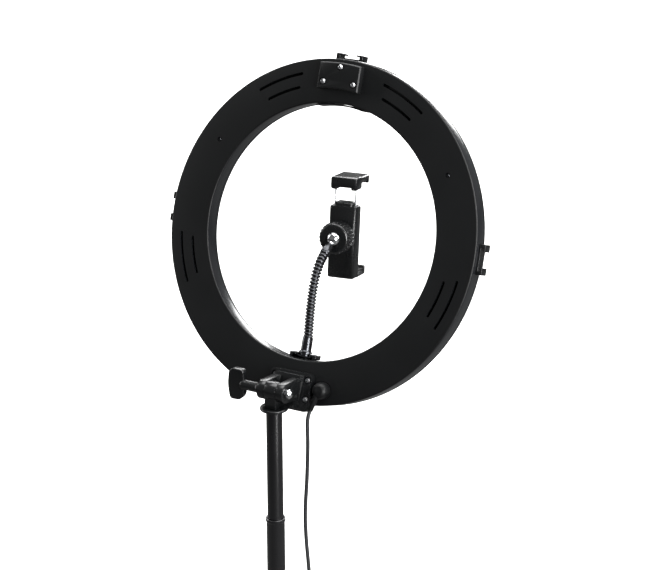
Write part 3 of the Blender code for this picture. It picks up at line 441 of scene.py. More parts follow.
def turned(profile, segments=64, closed=True, phase=0.0):
    """A profile of (radius, height) turned round Z. An open profile starts and ends on the axis."""
    bm = bmesh.new()
    rings = []
    for step in range(segments):
        a = phase + 2 * math.pi * step / segments
        rings.append([bm.verts.new((r * math.cos(a), r * math.sin(a), h)) for r, h in profile])
    count = len(profile)
    pairs = [(i, i + 1) for i in range(count - 1)] + ([(count - 1, 0)] if closed else [])
    for here, there in zip(rings, rings[1:] + rings[:1]):
        for i, j in pairs:
            bm.faces.new((here[i], there[i], there[j], here[j]))
    return merged(from_bmesh(bm))


def rounded_profile(points, radius, steps=3):
    """A closed profile with each corner replaced by a small curve. A point may carry its own radius."""
    result = []
    count = len(points)
    for i, point in enumerate(points):
        size = point[2] if len(point) > 2 else radius
        here = Vector(point[:2])
        before = Vector(points[i - 1][:2]) - here
        after = Vector(points[(i + 1) % count][:2]) - here
        cut = min(size, before.length * 0.45, after.length * 0.45)
        if cut <= 0:
            result.append(tuple(here))
            continue
        a, b = here + before.normalized() * cut, here + after.normalized() * cut
        for k in range(steps + 1):
            t = k / steps
            spot = a * (1 - t) ** 2 + here * 2 * t * (1 - t) + b * t**2
            result.append(tuple(spot))
    return result


def prism(points, low, high):
    """A flat outline (x, y) made solid from z = low to z = high."""
    bm = bmesh.new()
    bottom = [bm.verts.new((x, y, low)) for x, y in points]
    top = [bm.verts.new((x, y, high)) for x, y in points]
    bm.faces.new(bottom[::-1])
    bm.faces.new(top)
    for i in range(len(points)):
        j = (i + 1) % len(points)
        bm.faces.new((bottom[i], bottom[j], top[j], top[i]))
    return merged(from_bmesh(bm))


def block(low, high):
    bm = bmesh.new()
    bmesh.ops.create_cube(bm, size=1)
    bmesh.ops.scale(bm, vec=[h - l for l, h in zip(low, high)], verts=bm.verts)
    bmesh.ops.translate(bm, vec=[(h + l) / 2 for l, h in zip(low, high)], verts=bm.verts)
    return from_bmesh(bm)


def swept(points, radius, sides=14):
    """A round tube along points, closed at both ends, with no twist. radius is a number or one for each point."""
    points = [Vector(p) for p in points]
    radii = radius if isinstance(radius, (list, tuple)) else [radius] * len(points)
    tangents = [
        (points[min(i + 1, len(points) - 1)] - points[max(i - 1, 0)]).normalized() for i in range(len(points))
    ]
    side = tangents[0].orthogonal().normalized()
    bm = bmesh.new()
    rings = []
    for point, tangent, r in zip(points, tangents, radii):
        side = (side - tangent * side.dot(tangent)).normalized()
        up = tangent.cross(side)
        ring = []
        for step in range(sides):
            a = 2 * math.pi * step / sides
            ring.append(bm.verts.new(point + (side * math.cos(a) + up * math.sin(a)) * r))
        rings.append(ring)
    for here, there in zip(rings, rings[1:]):
        for i in range(sides):
            j = (i + 1) % sides
            bm.faces.new((here[i], here[j], there[j], there[i]))
    bm.faces.new(rings[0][::-1])
    bm.faces.new(rings[-1])
    bmesh.ops.recalc_face_normals(bm, faces=bm.faces)
    return from_bmesh(bm)


def joined(*meshes):
    """Several meshes as one, each keeping its own material."""
    bm = bmesh.new()
    materials = []
    for mesh in meshes:
        first = len(bm.faces)
        bm.from_mesh(mesh)
        bm.faces.ensure_lookup_table()
        slots = []
        for surface in mesh.materials:
            if surface not in materials:
                materials.append(surface)
            slots.append(materials.index(surface))
        for face in bm.faces[first:]:
            face.material_index = slots[face.material_index] if slots else 0
    mesh = from_bmesh(bm)
    for mat in materials:
        mesh.materials.append(mat)
    return mesh


def moved(mesh, matrix):
    mesh.transform(matrix)
    return mesh


def evaluated(mesh, add_modifiers):
    """The mesh after modifiers that the function puts on a passing object."""
    ob = bpy.data.objects.new("passing", mesh)
    bpy.context.scene.collection.objects.link(ob)
    helpers = add_modifiers(ob) or []
    graph = bpy.context.evaluated_depsgraph_get()
    result = bpy.data.meshes.new_from_object(ob.evaluated_get(graph))
    for each in [ob, *helpers]:
        bpy.data.objects.remove(each, do_unlink=True)
    return result


def cut_away(mesh, *tools):
    """Exact Boolean difference with each tool."""

    def modifiers(ob):
        helpers = []
        for tool in tools:
            helper = bpy.data.objects.new("tool", tool)
            bpy.context.scene.collection.objects.link(helper)
            step = ob.modifiers.new("cut", "BOOLEAN")
            step.operation = "DIFFERENCE"
            step.solver = "EXACT"
            step.object = helper
            helpers.append(helper)
        return helpers

    return evaluated(mesh, modifiers)


def edges_rounded(mesh, width, segments=2, degrees=30):
    """Edges sharper than the angle get a small round."""

    def modifiers(ob):
        step = ob.modifiers.new("edges", "BEVEL")
        step.width = width
        step.segments = segments
        step.limit_method = "ANGLE"
        step.angle_limit = math.radians(degrees)
        step.use_clamp_overlap = True

    return evaluated(mesh, modifiers)


def copy_of(node):
    """A CAD node's shape as a clean mesh: doubles merged and flat faces whole again."""
    bm = bmesh.new()
    bm.from_mesh(NODES[node].data)
    bmesh.ops.remove_doubles(bm, verts=bm.verts, dist=2e-6)
    bmesh.ops.dissolve_limit(bm, angle_limit=math.radians(0.5), verts=bm.verts, edges=bm.edges)
    bmesh.ops.recalc_face_normals(bm, faces=bm.faces)
    return from_bmesh(bm, node)


def piece(name, mesh, body, material, slot, *nodes):
    """A finished piece on its body, in place of its CAD nodes."""
    if not mesh.materials:
        mesh.materials.append(finish(material))
    mesh.name = name
    ob = bpy.data.objects.new(name, mesh)
    bpy.context.scene.collection.objects.link(ob)
    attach(ob, body)
    if nodes:
        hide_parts(*nodes)
    return ob


def refined(node, body, material, slot, edge=None, segments=2):
    """A CAD node again with rounded edges and smooth shading."""
    width = bpy.context.scene.ring_light_sizes.edge if edge is None else edge
    mesh = copy_of(node)
    if width:
        mesh = edges_rounded(mesh, width, segments)
    return piece(node + "_finished", smooth(mesh), body, material, slot, node)


def arc(radius, start, end, steps, centre=(0, 0)):
    angles = [math.radians(start + (end - start) * i / steps) for i in range(steps + 1)]
    return [(centre[0] + radius * math.cos(a), centre[1] + radius * math.sin(a)) for a in angles]


# ---------------------------------------------------------------- geometry-node trees


def new_tree(name, sizes):
    """A geometry tree with a mesh coming in, and named inputs for its sizes."""
    tree = bpy.data.node_groups.new(name, "GeometryNodeTree")
    tree.interface.new_socket("Geometry", in_out="INPUT", socket_type="NodeSocketGeometry")
    for label, kind in sizes:
        tree.interface.new_socket(label, in_out="INPUT", socket_type="NodeSocket" + kind)
    tree.interface.new_socket("Geometry", in_out="OUTPUT", socket_type="NodeSocketGeometry")
    return tree, add_node(tree, "NodeGroupInput").outputs


def end_tree(tree, geometry, material):
    real = add_node(tree, "GeometryNodeRealizeInstances", {"Geometry": geometry})
    shaded = add_node(tree, "GeometryNodeSetMaterial", {"Geometry": real.outputs["Geometry"], "Material": material})
    add_node(tree, "NodeGroupOutput", {"Geometry": shaded.outputs["Geometry"]})


def grown(tree, base, values, material):
    """The plain mesh that a tree grows on a base mesh with these input values."""

    def modifiers(ob):
        step = ob.modifiers.new("grow", "NODES")
        step.node_group = tree
        for item in tree.interface.items_tree:
            if item.in_out == "INPUT" and item.name in values:
                step[item.identifier] = values[item.name]
            if item.in_out == "INPUT" and item.name == "Material":
                step[item.identifier] = material

    mesh = evaluated(base, modifiers)
    if not len(mesh.polygons):
        raise RuntimeError(f"the tree {tree.name} grew nothing")
    mesh.materials.clear()
    mesh.materials.append(material)
    for face in mesh.polygons:
        face.material_index = 0
    return mesh


def winding_tree():
    """Round wire wound closely along a path, one ring for each turn."""
    tree, given = new_tree(
        "winding", [("Pitch", "Float"), ("Radius", "Float"), ("Wire", "Float"), ("Material", "Material")]
    )
    path = add_node(tree, "GeometryNodeMeshToCurve", {"Mesh": given["Geometry"]})
    spots = add_node(
        tree,
        "GeometryNodeCurveToPoints",
        {"Curve": path.outputs["Curve"], "Length": given["Pitch"]},
        mode="LENGTH",
    )
    inner = add_node(tree, "ShaderNodeMath", {0: given["Radius"], 1: given["Wire"]}, operation="SUBTRACT")
    loop = add_node(
        tree, "GeometryNodeCurvePrimitiveCircle", {"Resolution": 24, "Radius": inner.outputs[0]}
    )
    wire = add_node(tree, "GeometryNodeCurvePrimitiveCircle", {"Resolution": 8, "Radius": given["Wire"]})
    turn = add_node(
        tree,
        "GeometryNodeCurveToMesh",
        {"Curve": loop.outputs["Curve"], "Profile Curve": wire.outputs["Curve"]},
    )
    rings = add_node(
        tree,
        "GeometryNodeInstanceOnPoints",
        {"Points": spots.outputs["Points"], "Instance": turn.outputs["Mesh"], "Rotation": spots.outputs["Rotation"]},
    )
    end_tree(tree, rings.outputs["Instances"], given["Material"])
    return tree


def round_row_tree():
    """Equal blocks standing round a circle, each turned to face outwards: grips, ribs or lamps."""
    tree, given = new_tree(
        "round_row",
        [("Count", "Int"), ("Radius", "Float"), ("Block", "Vector"), ("Height", "Float"), ("Material", "Material")],
    )
    circle = add_node(tree, "GeometryNodeMeshCircle", {"Vertices": given["Count"], "Radius": given["Radius"]})
    place = add_node(tree, "GeometryNodeInputPosition")
    face = add_node(
        tree,
        "FunctionNodeAlignRotationToVector",
        {"Vector": place.outputs["Position"]},
        axis="X",
        pivot_axis="Z",
    )
    body = add_node(tree, "GeometryNodeMeshCube", {"Size": given["Block"]})
    row = add_node(
        tree,
        "GeometryNodeInstanceOnPoints",
        {"Points": circle.outputs["Mesh"], "Instance": body.outputs["Mesh"], "Rotation": face.outputs["Rotation"]},
    )
    lift = add_node(tree, "ShaderNodeCombineXYZ", {"Z": given["Height"]})
    raised = add_node(
        tree,
        "GeometryNodeTransform",
        {"Geometry": row.outputs["Instances"], "Translation": lift.outputs["Vector"]},
    )
    end_tree(tree, raised.outputs["Geometry"], given["Material"])
    return tree


def screw_heads_tree():
    """A domed screw head with a cross recess on every point that comes in."""
    tree, given = new_tree("screw_heads", [("Radius", "Float"), ("Height", "Float"), ("Material", "Material")])
    slope = add_node(tree, "ShaderNodeMath", {0: given["Radius"], 1: 0.62}, operation="MULTIPLY")
    bar = add_node(tree, "ShaderNodeMath", {0: given["Radius"], 1: 1.25}, operation="MULTIPLY")
    thin = add_node(tree, "ShaderNodeMath", {0: given["Radius"], 1: 0.26}, operation="MULTIPLY")
    head = add_node(
        tree,
        "GeometryNodeMeshCone",
        {
            "Vertices": 20,
            "Side Segments": 2,
            "Radius Top": slope.outputs[0],
            "Radius Bottom": given["Radius"],
            "Depth": given["Height"],
        },
    )
    sizes = [
        add_node(tree, "ShaderNodeCombineXYZ", {"X": x, "Y": y, "Z": given["Height"]})
        for x, y in ((bar.outputs[0], thin.outputs[0]), (thin.outputs[0], bar.outputs[0]))
    ]
    up = add_node(tree, "ShaderNodeCombineXYZ", {"Z": given["Height"]})
    bars = [add_node(tree, "GeometryNodeMeshCube", {"Size": size.outputs["Vector"]}) for size in sizes]
    lifted = [
        add_node(
            tree,
            "GeometryNodeTransform",
            {"Geometry": each.outputs["Mesh"], "Translation": up.outputs["Vector"]},
        )
        for each in bars
    ]
    shape = head.outputs["Mesh"]
    for each in lifted:
        cut = add_node(
            tree,
            "GeometryNodeMeshBoolean",
            {"Mesh 1": shape, "Mesh 2": each.outputs["Geometry"]},
            operation="DIFFERENCE",
            solver="EXACT",
        )
        shape = cut.outputs["Mesh"]
    heads = add_node(tree, "GeometryNodeInstanceOnPoints", {"Points": given["Geometry"], "Instance": shape})
    end_tree(tree, heads.outputs["Instances"], given["Material"])
    return tree


TREES = {}


def tree_of(maker):
    """The tree that a function makes, made once."""
    if maker not in TREES:
        TREES[maker] = maker()
    return TREES[maker]


def path_mesh(points):
    mesh = bpy.data.meshes.new("path")
    mesh.from_pydata([tuple(p) for p in points], [(i, i + 1) for i in range(len(points) - 1)], [])
    return mesh


def points_mesh(points):
    mesh = bpy.data.meshes.new("points")
    mesh.from_pydata([tuple(p) for p in points], [], [])
    return mesh


def round_row(count, radius, size, height, material):
    return grown(
        tree_of(round_row_tree),
        points_mesh([(0, 0, 0)]),
        {"Count": count, "Radius": radius, "Block": size, "Height": height},
        finish(material),
    )


# ---------------------------------------------------------------- cable route

# From the gland down to the control box, in the row frame
CORD_ROUTE = (
    (22.8, -37.2, 590.7),
    (22.0, -39.0, 585.0),
    (21.9, -39.7, 577.0),
    (22.2, -39.8, 562.0),
    (21.6, -39.7, 542.0),
    (20.7, -39.6, 525.0),
    (19.4, -39.5, 507.0),
    (18.8, -39.4, 489.0),
    (19.3, -39.1, 471.0),
    (20.2, -38.9, 458.0),
    (22.0, -38.1, 432.0),
    (24.0, -36.7, 400.0),
    (26.6, -34.1, 350.0),
    (28.6, -31.5, 300.0),
    (30.4, -29.1, 250.0),
    (32.0, -27.1, 200.0),
    (33.6, -25.5, 150.0),
    (35.2, -24.3, 105.0),
    (38.5, -23.3, 65.0),
    (44.0, -22.0, 36.0),
    (49.8, -20.4, 16.0),
    (57.0, -19.4, 5.0),
    (66.0, -21.3, 2.0),
    (75.0, -27.1, 3.2),
    (80.7, -33.9, 5.2),
    (81.6, -35.4, 5.5),
)
# From the control box round to the stored coil
TAIL_ROUTE = (
    (121.4, -104.4, 5.50),
    (124.0, -108.9, 4.40),
    (129.3, -114.1, 2.80),
    (136.5, -116.2, 2.00),
    (143.4, -114.5, 2.00),
    (148.3, -109.4, 2.00),
    (150.1, -102.1, 2.00),
    (148.3, -94.9, 2.00),
    (141.3, -82.8, 2.00),
    (125.6, -54.9, 2.00),
    (111.3, -28.5, 2.00),
    (101.5, -8.7, 2.00),
    (94.2, 5.5, 2.50),
    (87.6, 17.2, 2.85),
)
# Heights at which the hanging cable is divided into its stretches
CORD_CUTS = (530 * MM, 470 * MM, 300 * MM)
CORD_EXIT = Vector((22.8 * MM, -152.9 * MM, 15.6 * MM))
COIL_CENTRE = Vector((90.8 * MM, 35 * MM, 0))
COIL_BOTTOM = 1.1 * MM
COIL_MEAN_R = 19.2 * MM


def smooth_route(points, spacing):
    """Points at an even spacing on a smooth curve through the given points."""
    dense = []
    for i in range(len(points) - 1):
        p0, p1 = points[max(i - 1, 0)], points[i]
        p2, p3 = points[i + 1], points[min(i + 2, len(points) - 1)]
        for k in range(20):
            t = k / 20
            bend = 2 * p1 + (p2 - p0) * t + (2 * p0 - 5 * p1 + 4 * p2 - p3) * t**2
            dense.append(0.5 * (bend + (3 * p1 - p0 - 3 * p2 + p3) * t**3))
    dense.append(points[-1])
    lengths = [0.0]
    for a, b in zip(dense, dense[1:]):
        lengths.append(lengths[-1] + (b - a).length)
    count = max(2, round(lengths[-1] / spacing))
    even, j = [], 0
    for i in range(count + 1):
        target = lengths[-1] * i / count
        while j < len(lengths) - 2 and lengths[j + 1] < target:
            j += 1
        part = (target - lengths[j]) / (lengths[j + 1] - lengths[j])
        even.append(dense[j].lerp(dense[j + 1], min(part, 1)))
    return even


def crossing(points, height):
    """The point where a falling route passes a height."""
    for a, b in zip(points, points[1:]):
        if a.z >= height > b.z:
            return a.lerp(b, (a.z - height) / (a.z - b.z))
    raise ValueError("the route doesn't pass that height")


def coil_turns():
    """Nine turns laid beside and on each other, as (radius, height) cells visited one after another."""
    pitch = bpy.context.scene.ring_light_sizes.cord_diameter
    cells = [(2, 0), (2, 1), (1, 1), (1, 0), (0, 0), (0, 1), (0, 2), (1, 2), (2, 2)]
    spots = [
        (COIL_MEAN_R + (column - 1) * pitch, COIL_BOTTOM + pitch * (row + 0.5)) for column, row in cells
    ]
    steps = 30
    straight, across = 0.7, 0.3  # shares of a turn spent in its own cell and moving to the next
    points = []
    for number, (radius, height) in enumerate(spots):
        onward = spots[min(number + 1, len(spots) - 1)]
        for k in range(steps):
            share = max(0.0, (k / steps - straight) / across)
            share = share * share * (3 - 2 * share)
            r = radius + (onward[0] - radius) * share
            h = height + (onward[1] - height) * share
            a = 2 * math.pi * k / steps
            points.append(COIL_CENTRE + Vector((r * math.cos(a), r * math.sin(a), h)))
    radius, height = spots[-1]
    points.append(COIL_CENTRE + Vector((radius, 0, height)))
    return points


# ---------------------------------------------------------------- operators


class RINGLIGHT_OT_stage(bpy.types.Operator):
    """Pale paper floor, soft lights and the camera behind the lamp, above its middle and to its right"""

    bl_idname = "ring_light.stage"
    bl_label = "Stage"

    def execute(self, context):
        scene = context.scene
        scene.view_settings.view_transform = "Standard"
        floor = bpy.data.objects.new("paper_floor", self.paper())
        scene.collection.objects.link(floor)
        self.light_room(scene)
        self.add_softbox("overhead", (0.1, 0.5, 3.0), (0, 0, 0.3), 2.6, 2.6, 120)
        self.add_softbox("right_top", (1.9, 0.5, 1.9), (0, 0, 0.75), 0.8, 1.6, 60)
        self.add_softbox("left_strip", (-2.0, -0.4, 1.2), (0, 0, 0.6), 0.35, 1.8, 18)
        self.add_softbox("right_strip", (2.2, -1.0, 1.0), (0, 0, 0.6), 0.35, 1.8, 50)
        self.add_softbox("back_strip", (1.93, -1.62, 1.3), (0, 0, 0.65), 0.16, 1.5, 30)
        self.add_softbox("front_box", (-0.45, 2.4, 0.92), (0, 0, 0.7), 0.8, 0.45, 12)
        self.add_softbox("paper_wash", (-1.8, 3.6, 3.2), (-2.2, 4.4, 0), 4.0, 3.0, 420)
        self.add_camera(scene)
        return {"FINISHED"}

    @staticmethod
    def paper():
        mesh = prism([(-9, -9), (9, -9), (9, 9), (-9, 9)], -0.004, -0.0002)
        mesh.materials.append(finish("floor"))
        return mesh

    @staticmethod
    def light_room(scene):
        """White to look at, and much dimmer as a light, so that black surfaces stay black."""
        world = bpy.data.worlds.new("white_room")
        scene.world = world
        world.use_nodes = True
        tree = world.node_tree
        tree.nodes.clear()
        path = add_node(tree, "ShaderNodeLightPath")
        strength = add_node(
            tree, "ShaderNodeMapRange", {"Value": path.outputs["Is Camera Ray"], "To Min": 0.16, "To Max": 1.0}
        )
        glow = add_node(
            tree, "ShaderNodeBackground", {"Color": linear("FFFFFF"), "Strength": strength.outputs["Result"]}
        )
        add_node(tree, "ShaderNodeOutputWorld", {"Surface": glow.outputs["Background"]})

    @staticmethod
    def add_softbox(name, place, target, width, height, power):
        lamp = bpy.data.lights.new(name, "AREA")
        lamp.shape = "RECTANGLE"
        lamp.size = width
        lamp.size_y = height
        lamp.energy = power
        ob = bpy.data.objects.new(name, lamp)
        bpy.context.scene.collection.objects.link(ob)
        ob.location = place
        ob.rotation_euler = (Vector(target) - Vector(place)).to_track_quat("-Z", "Y").to_euler()

    @staticmethod
    def add_camera(scene):
        """Two metres from the ring's centre, looking down a little, with the lens shifted to keep the ring high."""
        azimuth, elevation, roll = math.radians(30.15), math.radians(18.37), math.radians(-0.386)
        away = Vector(
            (
                math.sin(azimuth) * math.cos(elevation),
                -math.cos(azimuth) * math.cos(elevation),
                math.sin(elevation),
            )
        )
        right = Vector((math.cos(azimuth), math.sin(azimuth), 0))
        up = away.cross(right)
        turned_right = right * math.cos(roll) + up * math.sin(roll)
        turned_up = up * math.cos(roll) - right * math.sin(roll)
        camera = bpy.data.cameras.new("camera")
        camera.sensor_width = 36
        camera.lens = 127.4
        camera.shift_x = 0.0061
        camera.shift_y = -0.081
        camera.clip_end = 60
        ob = bpy.data.objects.new("camera", camera)
        scene.collection.objects.link(ob)
        turn = Matrix((turned_right, turned_up, away)).transposed().to_4x4()
        centre = RING.translation
        ob.matrix_world = Matrix.Translation(centre + away * 2.0) @ turn
        scene.camera = ob


class RINGLIGHT_OT_cable(bpy.types.Operator):
    """Supply cable from the gland to the plug, with its control box, stored coil and strap"""

    bl_idname = "ring_light.cable"
    bl_label = "Cable"

    def execute(self, context):
        diameter = context.scene.ring_light_sizes.cord_diameter
        self.control_box()
        self.hanging_stretches(diameter)
        self.stored_stretch(diameter)
        return {"FINISHED"}

    @staticmethod
    def hanging_stretches(diameter):
        """The hanging cable in four stretches, divided at the heights in CORD_CUTS."""
        route = [Vector(p) * MM for p in CORD_ROUTE]
        points = smooth_route([RING @ CORD_EXIT] + route[1:], 4 * MM)
        limits = (math.inf, *CORD_CUTS, -math.inf)
        stretches = (
            ("cord_tilt", "light", "head"),
            ("cord_pan", "head", "upper_mast"),
            ("cord_upper", "upper_mast", "lower_mast"),
            ("cord_lower", "lower_mast", "stand"),
        )
        for (node, high_body, low_body), high, low in zip(stretches, limits, limits[1:]):
            inside = [p for p in points if low < p.z < high]
            if math.isfinite(high):
                inside.insert(0, crossing(points, high))
            if math.isfinite(low):
                inside.append(crossing(points, low))
            tube = smooth(swept(inside, diameter / 2), 60)
            tube.materials.append(finish("cable"))
            tube.name = node
            ob = bpy.data.objects.new(node + "_finished", tube)
            bpy.context.scene.collection.objects.link(ob)
            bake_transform(ob)
            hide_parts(node)

    @staticmethod
    def stored_stretch(diameter):
        """From the control box round to the coil, its nine turns, and the lead into the plug."""
        tail = smooth_route([Vector(p) * MM for p in TAIL_ROUTE], 4 * MM)
        turns = [LAY @ p for p in coil_turns()]
        x = COIL_CENTRE.x + COIL_MEAN_R + diameter
        lead = [(x, 41, 9.8), (x, 47, 9.2), (x, 52, 7.4), (x, 56, 5.8), (x, 58.8, 5.0)]
        lead = [LAY @ Vector((px, py * MM, pz * MM)) for px, py, pz in lead]
        points = tail + turns + smooth_route([turns[-1]] + lead, 3 * MM)[1:]
        tube = smooth(swept(points, diameter / 2, 12), 60)
        ob = piece("cord_stored", tube, "stand", "cable", "cable_jacket", "cord_tail", "cord_coil")
        strap = refined("cord_tie", "stand", "rubber", "rubber", 0.25 * MM)
        grip = refined("plug_body", "stand", "fittings", "black_plastic", 0.3 * MM)
        shell = refined("plug_shell", "stand", "zinc", "bright_steel", 0.15 * MM)

    @staticmethod
    def control_box():
        """The in-line box with a parting line round it, and its three keys with raised marks."""
        case = copy_of("remote_case")
        case = edges_rounded(case, 0.3 * MM, 2)
        low, high = Vector((70.4, -100.1, 5.4)) * MM, Vector((93.6, -21.9, 5.7)) * MM
        seam = prism(
            [(low.x, low.y), (high.x, low.y), (high.x, high.y), (low.x, high.y)], low.z, high.z
        )
        left, right, back, front = 70.9 * MM, 93.1 * MM, -99.6 * MM, -22.4 * MM
        core = prism([(left, back), (right, back), (right, front), (left, front)], 5.3 * MM, 5.8 * MM)
        groove = moved(cut_away(seam, core), LAY)
        case = smooth(cut_away(case, groove))
        piece("remote_case_finished", case, "stand", "shell", "satin_black_plastic", "remote_case")
        for name in ("power", "brighter", "dimmer"):
            node = "button_" + name
            low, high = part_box(node)
            outer, inner, proud, sunk = 1.7 * MM, 1.3 * MM, 0.25 * MM, -0.1 * MM
            outline = [(outer, proud), (outer, sunk), (inner, sunk), (inner, proud)]
            mark = turned(rounded_profile(outline, 0.1 * MM), 24)
            middle = (low + high) / 2
            moved(mark, Matrix.Translation((middle.x, middle.y, high.z)))
            cap = edges_rounded(copy_of(node), 0.2 * MM)
            piece(node + "_finished", smooth(joined(cap, mark)), name, "keys", "black_plastic", node)


class RINGLIGHT_OT_ring(bpy.types.Operator):
    """Rear cover with its vents, front diffuser, lamp board and lamps"""

    bl_idname = "ring_light.ring"
    bl_label = "Ring"

    outer = 150 * MM
    inner = 111.5 * MM
    half = 8 * MM
    wall = 1.8 * MM
    floor = 6 * MM

    def execute(self, context):
        self.rear_cover(context.scene.ring_light_sizes)
        self.diffuser()
        self.board(context.scene.ring_light_sizes)
        return {"FINISHED"}

    def rear_cover(self, sizes):
        """Channel-shaped shell with a parting groove round each wall, and eight vent slots."""
        groove, depth = -4.6 * MM, 0.45 * MM
        outer, inner, half = self.outer, self.inner, self.half
        profile = rounded_profile(
            [
                (outer, half, 1.6 * MM),
                (outer, groove + 0.3 * MM, 0.1 * MM),
                (outer - depth, groove + 0.2 * MM, 0),
                (outer - depth, groove - 0.2 * MM, 0),
                (outer, groove - 0.3 * MM, 0.1 * MM),
                (outer, -half, 0.5 * MM),
                (outer - self.wall, -half, 0.3 * MM),
                (outer - self.wall, self.floor, 0.3 * MM),
                (inner + self.wall, self.floor, 0.3 * MM),
                (inner + self.wall, -half, 0.3 * MM),
                (inner, -half, 0.5 * MM),
                (inner, groove - 0.3 * MM, 0.1 * MM),
                (inner + depth, groove - 0.2 * MM, 0),
                (inner + depth, groove + 0.2 * MM, 0),
                (inner, groove + 0.3 * MM, 0.1 * MM),
                (inner, half, 1.6 * MM),
            ],
            0.3 * MM,
            4,
        )
        shell = turned(profile, 240)
        tools = []
        for middle in (26, -26, 108, -108):
            for radius, half_arc in ((138.7 * MM, 9.0), (127.2 * MM, 7.1)):
                outline = self.slot_outline(radius, 90 - middle, half_arc, sizes.slot_width / 2)
                tools.append(prism(outline, self.floor - MM, half + MM))
        for angle in (60, -60):
            x, v = arc(130.5 * MM, 90 - angle, 90 - angle, 1)[0]
            well_r, well_top, well_floor = 2.2 * MM, half + MM, half - 1.2 * MM
            outline = [(0, well_top), (well_r, well_top), (well_r, well_floor), (0, well_floor)]
            well = turned(outline, 24, closed=False)
            tools.append(moved(well, Matrix.Translation((x, v, 0))))
        shell = cut_away(shell, *tools)
        shell.materials.clear()
        shell.materials.append(finish("shell"))
        shell.materials.append(finish("rim"))
        for face in shell.polygons:
            face.material_index = int(abs(face.normal.z) < 0.35)
        shell = moved(smooth(shell, 40), RING)
        piece("rear_cover_finished", shell, "light", "shell", "satin_black_plastic", "rear_cover")
        wells = [(*arc(130.5 * MM, 90 - a, 90 - a, 1)[0], half - 0.95 * MM) for a in (60, -60)]
        heads = grown(
            tree_of(screw_heads_tree), points_mesh(wells), {"Radius": 1.7 * MM, "Height": 0.5 * MM}, finish("arm")
        )
        piece("cover_pins", moved(smooth(heads), RING), "light", "arm", "black_nickel")

    @staticmethod
    def slot_outline(radius, middle, half_arc, half):
        start, end = middle - half_arc, middle + half_arc
        points = arc(radius + half, start, end, 16)
        points += arc(half, end, end + 180, 8, arc(radius, end, end, 1)[0])[1:-1]
        points += arc(radius - half, end, start, 16)
        points += arc(half, start + 180, start + 360, 8, arc(radius, start, start, 1)[0])[1:-1]
        return points

    def diffuser(self):
        """Opal channel, crowned towards the front, with soft shoulders."""
        outer = self.outer - self.wall - 0.3 * MM
        inner = self.inner + self.wall + 0.3 * MM
        back, front = -5.5 * MM, -10.5 * MM
        crown = [
            (inner + (outer - inner) * k / 12, front + 0.5 * MM * (2 * k / 12 - 1) ** 2) for k in range(1, 12)
        ]
        profile = [(outer, back), (outer, -8.0 * MM), (outer - 0.5 * MM, -9.1 * MM), (outer - 1.6 * MM, -9.75 * MM)]
        profile += crown[::-1]
        profile += [(inner + 1.6 * MM, -9.75 * MM), (inner + 0.5 * MM, -9.1 * MM), (inner, -8.0 * MM), (inner, back)]
        profile += [(inner + 2 * MM, back), (inner + 2.4 * MM, -8.2 * MM)]
        profile += [(outer - 2.4 * MM, -8.2 * MM), (outer - 2 * MM, back)]
        mesh = smooth(turned(profile, 200), 50)
        mesh = moved(mesh, RING)
        piece("front_diffuser_finished", mesh, "light", "diffuser", "diffuser", "front_diffuser")

    def board(self, sizes):
        """Circuit board with two rings of lamps on its front."""
        outer = self.outer - self.wall - 2.5 * MM
        inner = self.inner + self.wall + 2.5 * MM
        profile = rounded_profile([(outer, MM), (outer, -0.6 * MM), (inner, -0.6 * MM), (inner, MM)], 0.1 * MM)
        board = smooth(turned(profile, 160))
        # The board gets the dark fittings finish so that the vents in the back show dark: painted shade inside the
        # ring. Its white front is the thin sheet below.
        piece("led_board_finished", moved(board, RING), "light", "fittings", "board", "led_board")
        sheet = [(outer - 0.3 * MM, -0.6 * MM), (outer - 0.3 * MM, -0.75 * MM), (inner + 0.3 * MM, -0.75 * MM)]
        sheet = smooth(turned([*sheet, (inner + 0.3 * MM, -0.6 * MM)], 160))
        piece("reflector_sheet", moved(sheet, RING), "light", "board", "board")
        rows = [
            round_row(sizes.led_count, radius, (2.8 * MM, 3.5 * MM, 0.8 * MM), -1.0 * MM, "lamp")
            for radius in (123 * MM, 137 * MM)
        ]
        piece("lamps", moved(joined(*rows), RING), "light", "lamp", "diffuser")


